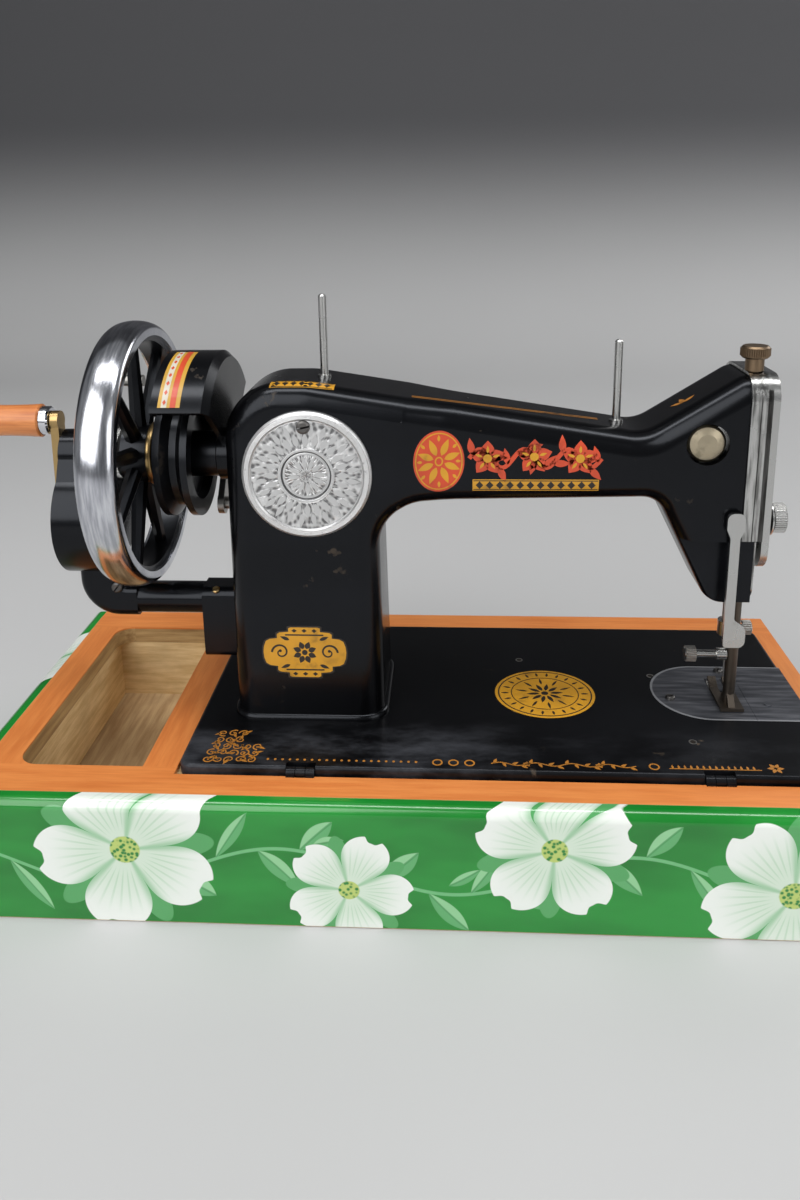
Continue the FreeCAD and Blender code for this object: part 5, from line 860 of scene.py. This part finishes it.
def slotted_screws():
    """Tree of the slotted screw: a cheese head with a turned-off rim and a sawn slot."""
    sizes = {"Head Radius": 0.0027, "Head Height": 0.0011, "Slot Width": 0.0007}
    tree = Setter("slotted_screw", sizes)
    radius, height, width = [tree.size(name) for name in sizes]
    sides, shoulder = 28, radius * 0.94
    head = tree.frustum(sides, radius, shoulder, height)
    rim = tree.raised(tree.frustum(sides, shoulder, radius * 0.68, height * 0.4), height)
    block = {"X": radius * 2.4, "Y": width, "Z": height}
    size = {"Size": tree.node("ShaderNodeCombineXYZ", block)}
    slot = tree.raised(tree.node("GeometryNodeMeshCube", size), height * 1.35)
    tree.stand(tree.carved("DIFFERENCE", tree.carved("UNION", head, rim), slot))
    return tree


def ribbed_rings():
    """Tree of the finger grips: a ring of straight ribs about an axis."""
    sizes = {"Ribs": 36, "Ring Radius": 0.008, "Rib Length": 0.004, "Rib Width": 0.0006}
    tree = Setter("ribbed_ring", sizes)
    count, radius, length, width = [tree.size(name) for name in sizes]
    spots = tree.node("GeometryNodeMeshCircle", {"Vertices": count, "Radius": radius})
    rib = {"Vertices": 6, "Radius": width, "Depth": length}
    ribs = {"Points": spots, "Instance": tree.node("GeometryNodeMeshCylinder", rib)}
    tree.stand(tree.node("GeometryNodeInstanceOnPoints", ribs))
    return tree


def border_dots():
    """Tree of the printed dots: flat buttons of twelve sides."""
    tree = Setter("border_dot", {"Dot Radius": 0.0008, "Dot Height": 0.0002})
    radius = tree.size("Dot Radius")
    tree.stand(tree.frustum(12, radius, radius * 0.9, tree.size("Dot Height")))
    return tree


def seated(node, place, axis, turn, size):
    """A seat on a piece's surface, found along the axis from outside."""
    clear = 50
    outward = Vector(axis).normalized()
    start = (Vector(place) + outward * clear) * MM
    found = surface_of(node).ray_cast(start, -outward)[0]
    return tuple(found / MM), tuple(outward), turn, size


def add_screws(dark, bright, brass):
    """Slotted screws that hold the covers and plates."""
    rear, front = -Y_AXIS, Y_AXIS
    tree = slotted_screws()
    dark_rows = [
        seated("rear_cover", (-59.7, -36.7, 262.6), rear, 0.2, 1.5),
        seated("needle_plate", (160.6, -8.2, 80), Z_AXIS, 0.3, 1.15),
        seated("needle_plate", (199.5, 27, 80), Z_AXIS, 1.1, 1.15),
        seated("face_plate", (201.6, 0, 160), X_AXIS, 0.7, 1.0),
        seated("stitch_plate", (-62.5, 38.4, 138), front, 0.4, 1.0),
        seated("stitch_plate", (-62.5, 38.4, 174), front, 1.3, 1.0),
        seated("crank_bracket", (-186, -6, 152), rear, 0.9, 1.3),
    ]
    tree.make("cover_screws", dark_rows, dark, "head", "steel")
    crank_z, circle = 196.7, 30
    case_rows = []
    for number, angle in enumerate((0.6, 2.5, 3.8, 5.6)):
        spot = (-213, circle * cos(angle), crank_z + circle * sin(angle))
        case_rows.append(seated("case_cover", spot, -X_AXIS, 0.8 * number, 0.85))
    tree.make("case_screws", case_rows, bright, "head", "steel", {"Head Height": 0.0006})
    oil_rows = [seated("crank_bracket", (-123, -9.6, 150.8), (0, -0.6, 0.8), 0.4, 0.9)]
    tree.make("post_oil_cap", oil_rows, brass, "head", "brass")


def add_grips(nickel, steel, bronze):
    """Straight knurls on the parts that fingers turn."""
    tree = ribbed_rings()
    for name, body, material, slot, place, axis, radius, length, ribs in (
        ("tension_nut", "tension", nickel, "steel", (215.4, -11, 201), X_AXIS, 8.4, 7.0, 40),
        ("foot_screw", "presser", steel, "steel", (169.4, -14, 114), X_AXIS, 4.3, 6.0, 22),
        ("clamp_screw", "needle_carrier", steel, "steel", (206.2, 0, 125), X_AXIS, 4.1, 5.0, 20),
        ("pressure_knob", "pressure", bronze, "brass", (194.5, -14, 300.6), Z_AXIS, 7.7, 4.2, 40),
        ("clutch_knob", "clutch", nickel, "chrome", (-179.2, 0, WHEEL_Z), X_AXIS, 14.9, 4.4, 64),
    ):
        sizes = {"Ribs": ribs, "Ring Radius": radius * MM, "Rib Length": length * MM}
        tree.make(name + "_ribs", [(place, axis, 0.0, 1.0)], material, body, slot, sizes)


def add_border_dots(gold):
    """Printed dots along the bed's rear edge."""
    spots = [(-80 + 4.2 * number, BORDER_Y, 80) for number in range(21)]
    rows = [seated("bed_plate", spot, Z_AXIS, 0.0, 1.0) for spot in spots]
    border_dots().make("bed_border_dots", rows, gold, "head", "brass")


def add_oil_holes(steel, ink):
    """Bright rims of the oil holes in the bed, and dark discs painted in them as the shade inside
    the holes.
    """
    rims = on_bed()
    # dark discs painted in the holes as the shade inside them
    painted_shade = on_bed((GROUND + PRINT) / 2)
    for u, v in ((153.6, 19.2), (163.1, -56.8), (69.4, 38.6)):
        rims.disc(u, v, 2.4, 2.4, 14)
        painted_shade.disc(u, v, 1.6, 1.6, 14)
    rims.make("oil_hole_rims", steel, "steel")
    painted_shade.make("oil_hole_mouths", ink, "black_paint")


def skin(shape, loops, closed=True):
    """Smooth faces from each loop of corners to the next, round to the first."""
    size = len(loops[0])
    for here, there in zip(loops, loops[1:] + loops[:1]):
        for side in range(size if closed else size - 1):
            after = (side + 1) % size
            face = shape.faces.new((here[side], there[side], there[after], here[after]))
            face.smooth = True
    clean(shape)


def turned(name, centre, profile, turns, material, closed=True, crease=0.7):
    """A shape turned about an axis along X; an open profile starts and ends on the axis."""
    shape = bmesh.new()
    loops = []
    for angle in evenly(0, tau, turns)[:-1]:
        outward = Vector((0, cos(angle), sin(angle)))
        points = [Vector(centre) + X_AXIS * x + outward * r for x, r in profile]
        loops.append([shape.verts.new(point * MM) for point in points])
    skin(shape, loops, closed)
    piece = mesh_object(name, shape, material)
    piece.data.set_sharp_from_angle(angle=crease)
    return piece


def add_foot_bead(enamel):
    """Half-round bead of the casting where the pillar meets the bed."""
    casting = surface_of("arm_casting")
    centre = Vector((-62.5, 0, BED_Z))
    shape = bmesh.new()
    loops = []
    turns, clear, reach, rise, sunk, dip = 120, 120, 2.6, 3.4, 1.2, 0.1
    arc = [(reach * cos(turn), rise * sin(turn)) for turn in evenly(0, pi / 2, 6)]
    profile = [(-sunk, 0), *arc, (-sunk, rise)]
    for angle in evenly(0, tau, turns)[:-1]:
        outward = Vector((cos(angle), sin(angle), 0))
        start = (centre + outward * clear + Z_AXIS) * MM
        foot, normal = casting.ray_cast(start, -outward)[:2]
        foot = Vector((foot.x / MM, foot.y / MM, BED_Z - dip))
        away = Vector((normal.x, normal.y, 0)).normalized()
        section = [foot + away * out + Z_AXIS * up for out, up in profile]
        loops.append([shape.verts.new(spot * MM) for spot in section])
    skin(shape, loops)
    piece = mesh_object("pillar_foot_bead", shape, enamel)
    piece.data.set_sharp_from_angle(angle=0.9)
    keep(piece, "head")


def add_rim(chrome):
    """The handwheel's rim, turned smooth over the CAD piece's own profile."""
    inner, shoulder, crown, half, steps = 72.0, 76.0, 5.0, 11.0, 28
    profile = [(half, inner), (-half, inner)]
    for angle in evenly(0, pi, steps):
        profile.append((-half * cos(angle), shoulder + crown * sin(angle)))
    piece = turned("smooth_rim", (-167, 0, WHEEL_Z), profile, 160, chrome)
    keep(piece, "wheel")
    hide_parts("handwheel_rim")


def smooth_run(stations, steps=6):
    """A smooth curve through stations, as points from the first to the last."""
    run = []
    spots = [Vector(station) for station in (stations[0], *stations, stations[-1])]
    for before, start, end, after in zip(spots, spots[1:], spots[2:], spots[3:]):
        for share in evenly(0, 1, steps)[:-1]:
            bend = (2 * before - 5 * start + 4 * end - after) * share ** 2
            bend += (3 * start - before - 3 * end + after) * share ** 3
            run.append(tuple(start + ((end - before) * share + bend) / 2))
    return [*run, stations[-1]]


def add_grip(varnish):
    """The crank's wooden grip, turned smooth with a shoulder at the ferrule."""
    bore, bottom = 3.3, -69.0
    shoulder = [(bottom, 0), (bottom, bore), (0, bore), (0, 9.5)]
    stations = [
        (-0.9, 10.2), (-11, 9.7), (-26, 9.5), (-44, 10.2),
        (-58, 9.8), (-67.5, 7.8), (-72.6, 4.4), (-74, 0),
    ]
    chain = shoulder + smooth_run(stations)
    piece = turned("smooth_grip", (-225.9, 0, 257.7), chain, 48, varnish, closed=False)
    keep(piece, "grip")
    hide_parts("handle_grip")


def add_hub_collar(brass):
    """Brass ring on the handwheel's hub beside the guard."""
    profile = [(-1.7, 17.6), (1.7, 17.6), (1.8, 18.9), (1.3, 19.4), (-1.3, 19.4), (-1.8, 18.9)]
    piece = turned("hub_collar", (-156.5, 0, WHEEL_Z), profile, 64, brass, crease=pi)
    keep(piece, "wheel")


def winder_finish():
    """Steel spindle with a rubber tyre, told apart by the radius."""
    paint = Paint("winder_finish")
    far = distance(*paint.axes()[1:], middle("winder_spindle", 1, 2))
    tyre = far.step(0.0068, 0.0070)
    dust = paint.noise(60.0, 4.0)
    rubber = paint.mix(dust, (24, 24, 24), (48, 46, 44))
    bright = paint.mix(dust, (176, 174, 170), (120, 118, 114))
    paint.coat({"Metallic": 1 - tyre})
    return paint.finished(paint.mix(tyre, bright, rubber), 0.3 + 0.35 * tyre + 0.1 * dust)


def shared_finishes():
    """Finishes that CAD nodes and added pieces share."""
    return {
        "enamel": black_enamel("arm_enamel", gloss=0.12, wear=0.5, shine=0.21),
        "grip": varnished_wood("grip_varnish", ALONG_X, (230, 148, 82), (186, 102, 48)),
        "rim": rim_chrome(),
        "chrome": bright_metal("ferrule_chrome", (218, 220, 226), gloss=0.06, smear=0.14),
        "silver": bright_metal("leaf_silver", (222, 222, 222), gloss=0.24, smear=0.2),
        "nickel": bright_metal("fitting_nickel", (196, 196, 194), gloss=0.14, smear=0.25),
        "steel": ground_steel("works_steel", (164, 162, 158), rough=0.3),
        "dark": ground_steel("screw_steel", (108, 106, 104), rough=0.34),
        "bronze": bright_metal("knob_bronze", (132, 112, 90), gloss=0.3, smear=0.25),
        "brass": bright_metal("crank_brass", (180, 152, 104), gloss=0.2, smear=0.25),
    }


def dress_nodes(shared):
    """Give each CAD node its finish."""
    finishes = {
        green_laminate(): "rear_board front_board wheel_end_board head_end_board",
        varnished_wood("rail_varnish_long", ALONG_X, *RAIL): "rear_rail front_rail",
        varnished_wood("rail_varnish_cross", ALONG_Y, *RAIL): (
            "wheel_end_rail divider_rail head_end_rail"
        ),
        shared["grip"]: "handle_grip",
        bare_wood("tray_wall_wood", LEVEL, (236, 208, 158), (204, 170, 116)): "tray_walls",
        bare_wood("tray_floor_wood", ALONG_Y, (198, 170, 128), (160, 128, 88)): "tray_floor",
        bare_wood("bottom_wood", ALONG_X, *RAW_BOARD): "bottom_board bed_rests",
        shared["enamel"]: "arm_casting crank_bracket case_cover belt_guard",
        black_enamel("bed_enamel", gloss=0.24, wear=0.9, shine=0.16, haze=0.55): (
            "bed_plate hinge_leaves hinge_tongues"
        ),
        black_enamel("spoke_paint", gloss=0.2, wear=0.4, shine=0.3): "handwheel_spider",
        shared["rim"]: "handwheel_rim",
        shared["chrome"]: "handle_ferrule",
        engraved_silver(): "rear_cover",
        shared["nickel"]: """
            thread_guard tension_discs tension_nut takeup_lever lifter_lever foot_screw
            stitch_plate stitch_lever spool_pins needle_clamp clutch_knob
        """,
        face_nickel(): "face_plate",
        bed_steel(): "needle_plate slide_plate",
        ground_steel("stud_steel", (186, 174, 150), rough=0.3, patch=130.0): "takeup_stud",
        ground_steel("foot_steel", (96, 88, 80), rough=0.34): "presser_foot presser_bar",
        shared["steel"]: """
            arm_shaft needle_crank crank_gear drive_pinion needle_bar needle needle_link
            winder_arm hook_shaft connecting_rod feed_dog shuttle_race shuttle_hook bobbin_case
        """,
        shared["brass"]: "crank_arm shaft_bushes",
        shared["bronze"]: "pressure_screw",
        winder_finish(): "winder_spindle",
    }
    for material, names in finishes.items():
        for name in names.split():
            mesh = nodes[name].data
            mesh.materials.clear()
            mesh.materials.append(material)


def add_trim(shared):
    """Printed ornament, screws, knurls, collars and smooth pieces."""
    gold = transfer_ink("transfer_gold", (228, 164, 34), 0.6)
    orange = transfer_ink("transfer_orange", (196, 128, 44), 0.8)
    ink = transfer_ink("transfer_black", (34, 26, 18), 0.2)
    red = transfer_ink("transfer_red", (222, 78, 40), 0.4)
    white = transfer_ink("transfer_white", (226, 218, 200), 0.5)
    yellow = transfer_ink("transfer_yellow", (218, 168, 56), 0.5)
    bed_transfers(orange, gold, ink)
    pillar_transfers(gold, ink)
    arm_transfers(orange, gold, ink, red)
    guard_transfers(yellow, white, red)
    cover_leaves(shared["silver"])
    add_border_dots(orange)
    add_oil_holes(shared["steel"], ink)
    add_screws(shared["dark"], shared["steel"], shared["brass"])
    add_grips(shared["nickel"], shared["steel"], shared["bronze"])
    add_hub_collar(shared["brass"])
    add_rim(shared["rim"])
    add_grip(shared["grip"])
    add_foot_bead(shared["enamel"])


def add_camera():
    """The photograph's view: place, turn, focal length and framing."""
    yaw, pitch, roll = -0.0599, 0.2501, 0.0150
    turn = Matrix.Rotation(-yaw, 4, "Z") @ Matrix.Rotation(pi / 2 - pitch, 4, "X")
    turn = turn @ Matrix.Rotation(-roll, 4, "Z")
    camera = bpy.data.cameras.new("camera")
    camera.sensor_width = 36
    picture_height, focal_length, shift = 1200, 946.6, -170  # in picture points
    camera.lens = focal_length / picture_height * camera.sensor_width
    camera.shift_y = shift / picture_height
    camera.clip_start = 0.01
    holder = linked("camera", camera)
    holder.matrix_world = Matrix.Translation((0.0259, -0.5505, 0.3924)) @ turn
    scene.camera = holder


def add_lamp(name, place, size, power):
    """A soft rectangular lamp aimed at the machine."""
    lamp = bpy.data.lights.new(name, "AREA")
    lamp.shape = "RECTANGLE"
    lamp.size, lamp.size_y = size
    lamp.energy = power
    holder = linked(name, lamp)
    holder.location = place
    target = Vector((0, 0, 0.15))
    aim = target - Vector(place)
    holder.rotation_euler = aim.to_track_quat("-Z", "Y").to_euler()


def add_stage():
    """Pale floor curving up into a backdrop, soft lamps and a pale surround."""
    paint = Paint("studio_floor")
    height = paint.axes()[2]
    pale = paint.mix(paint.noise(2.0, 2.0), (0.52, 0.52, 0.52, 1), (0.56, 0.56, 0.56, 1))
    colour = paint.mix(height.step(0.02, 0.6), pale, (0.08, 0.08, 0.085, 1))
    shape = bmesh.new()
    reach, bend, start, top, below = 14.0, 0.8, 1.4, 4.0, 0.0004
    rows = [(-reach, 0.0), (start, 0.0)]
    for angle in (0.15, 0.3, 0.45, 0.6, 0.75, 0.9, 1.05, 1.2, 1.4, pi / 2):
        rows.append((start + bend * sin(angle), bend - bend * cos(angle)))
    rows.append((start + bend, top))
    pairs = [[shape.verts.new((x, y, z - below)) for x in (-reach, reach)] for y, z in rows]
    for low, high in zip(pairs, pairs[1:]):
        shape.faces.new((low[0], low[1], high[1], high[0])).smooth = True
    mesh_object("studio_floor", shape, paint.finished(colour, 0.8))
    add_lamp("key_lamp", (-1.2, -2.0, 1.7), (2.2, 2.6), 56)
    add_lamp("fill_lamp", (1.7, -1.4, 1.0), (1.4, 1.6), 14)
    add_lamp("back_lamp", (1.9, 1.6, 1.5), (1.2, 1.2), 16)
    add_lamp("top_lamp", (0.0, -0.2, 2.1), (2.2, 0.4), 22)
    world = bpy.data.worlds.new("surround")
    world.use_nodes = True
    sky = world.node_tree.nodes["Background"]
    sky.inputs["Color"].default_value = (0.92, 0.94, 0.96, 1)
    sky.inputs["Strength"].default_value = 0.2
    scene.world = world
    scene.view_settings.view_transform = "Standard"


common = shared_finishes()
dress_nodes(common)
add_trim(common)
add_camera()
add_stage()
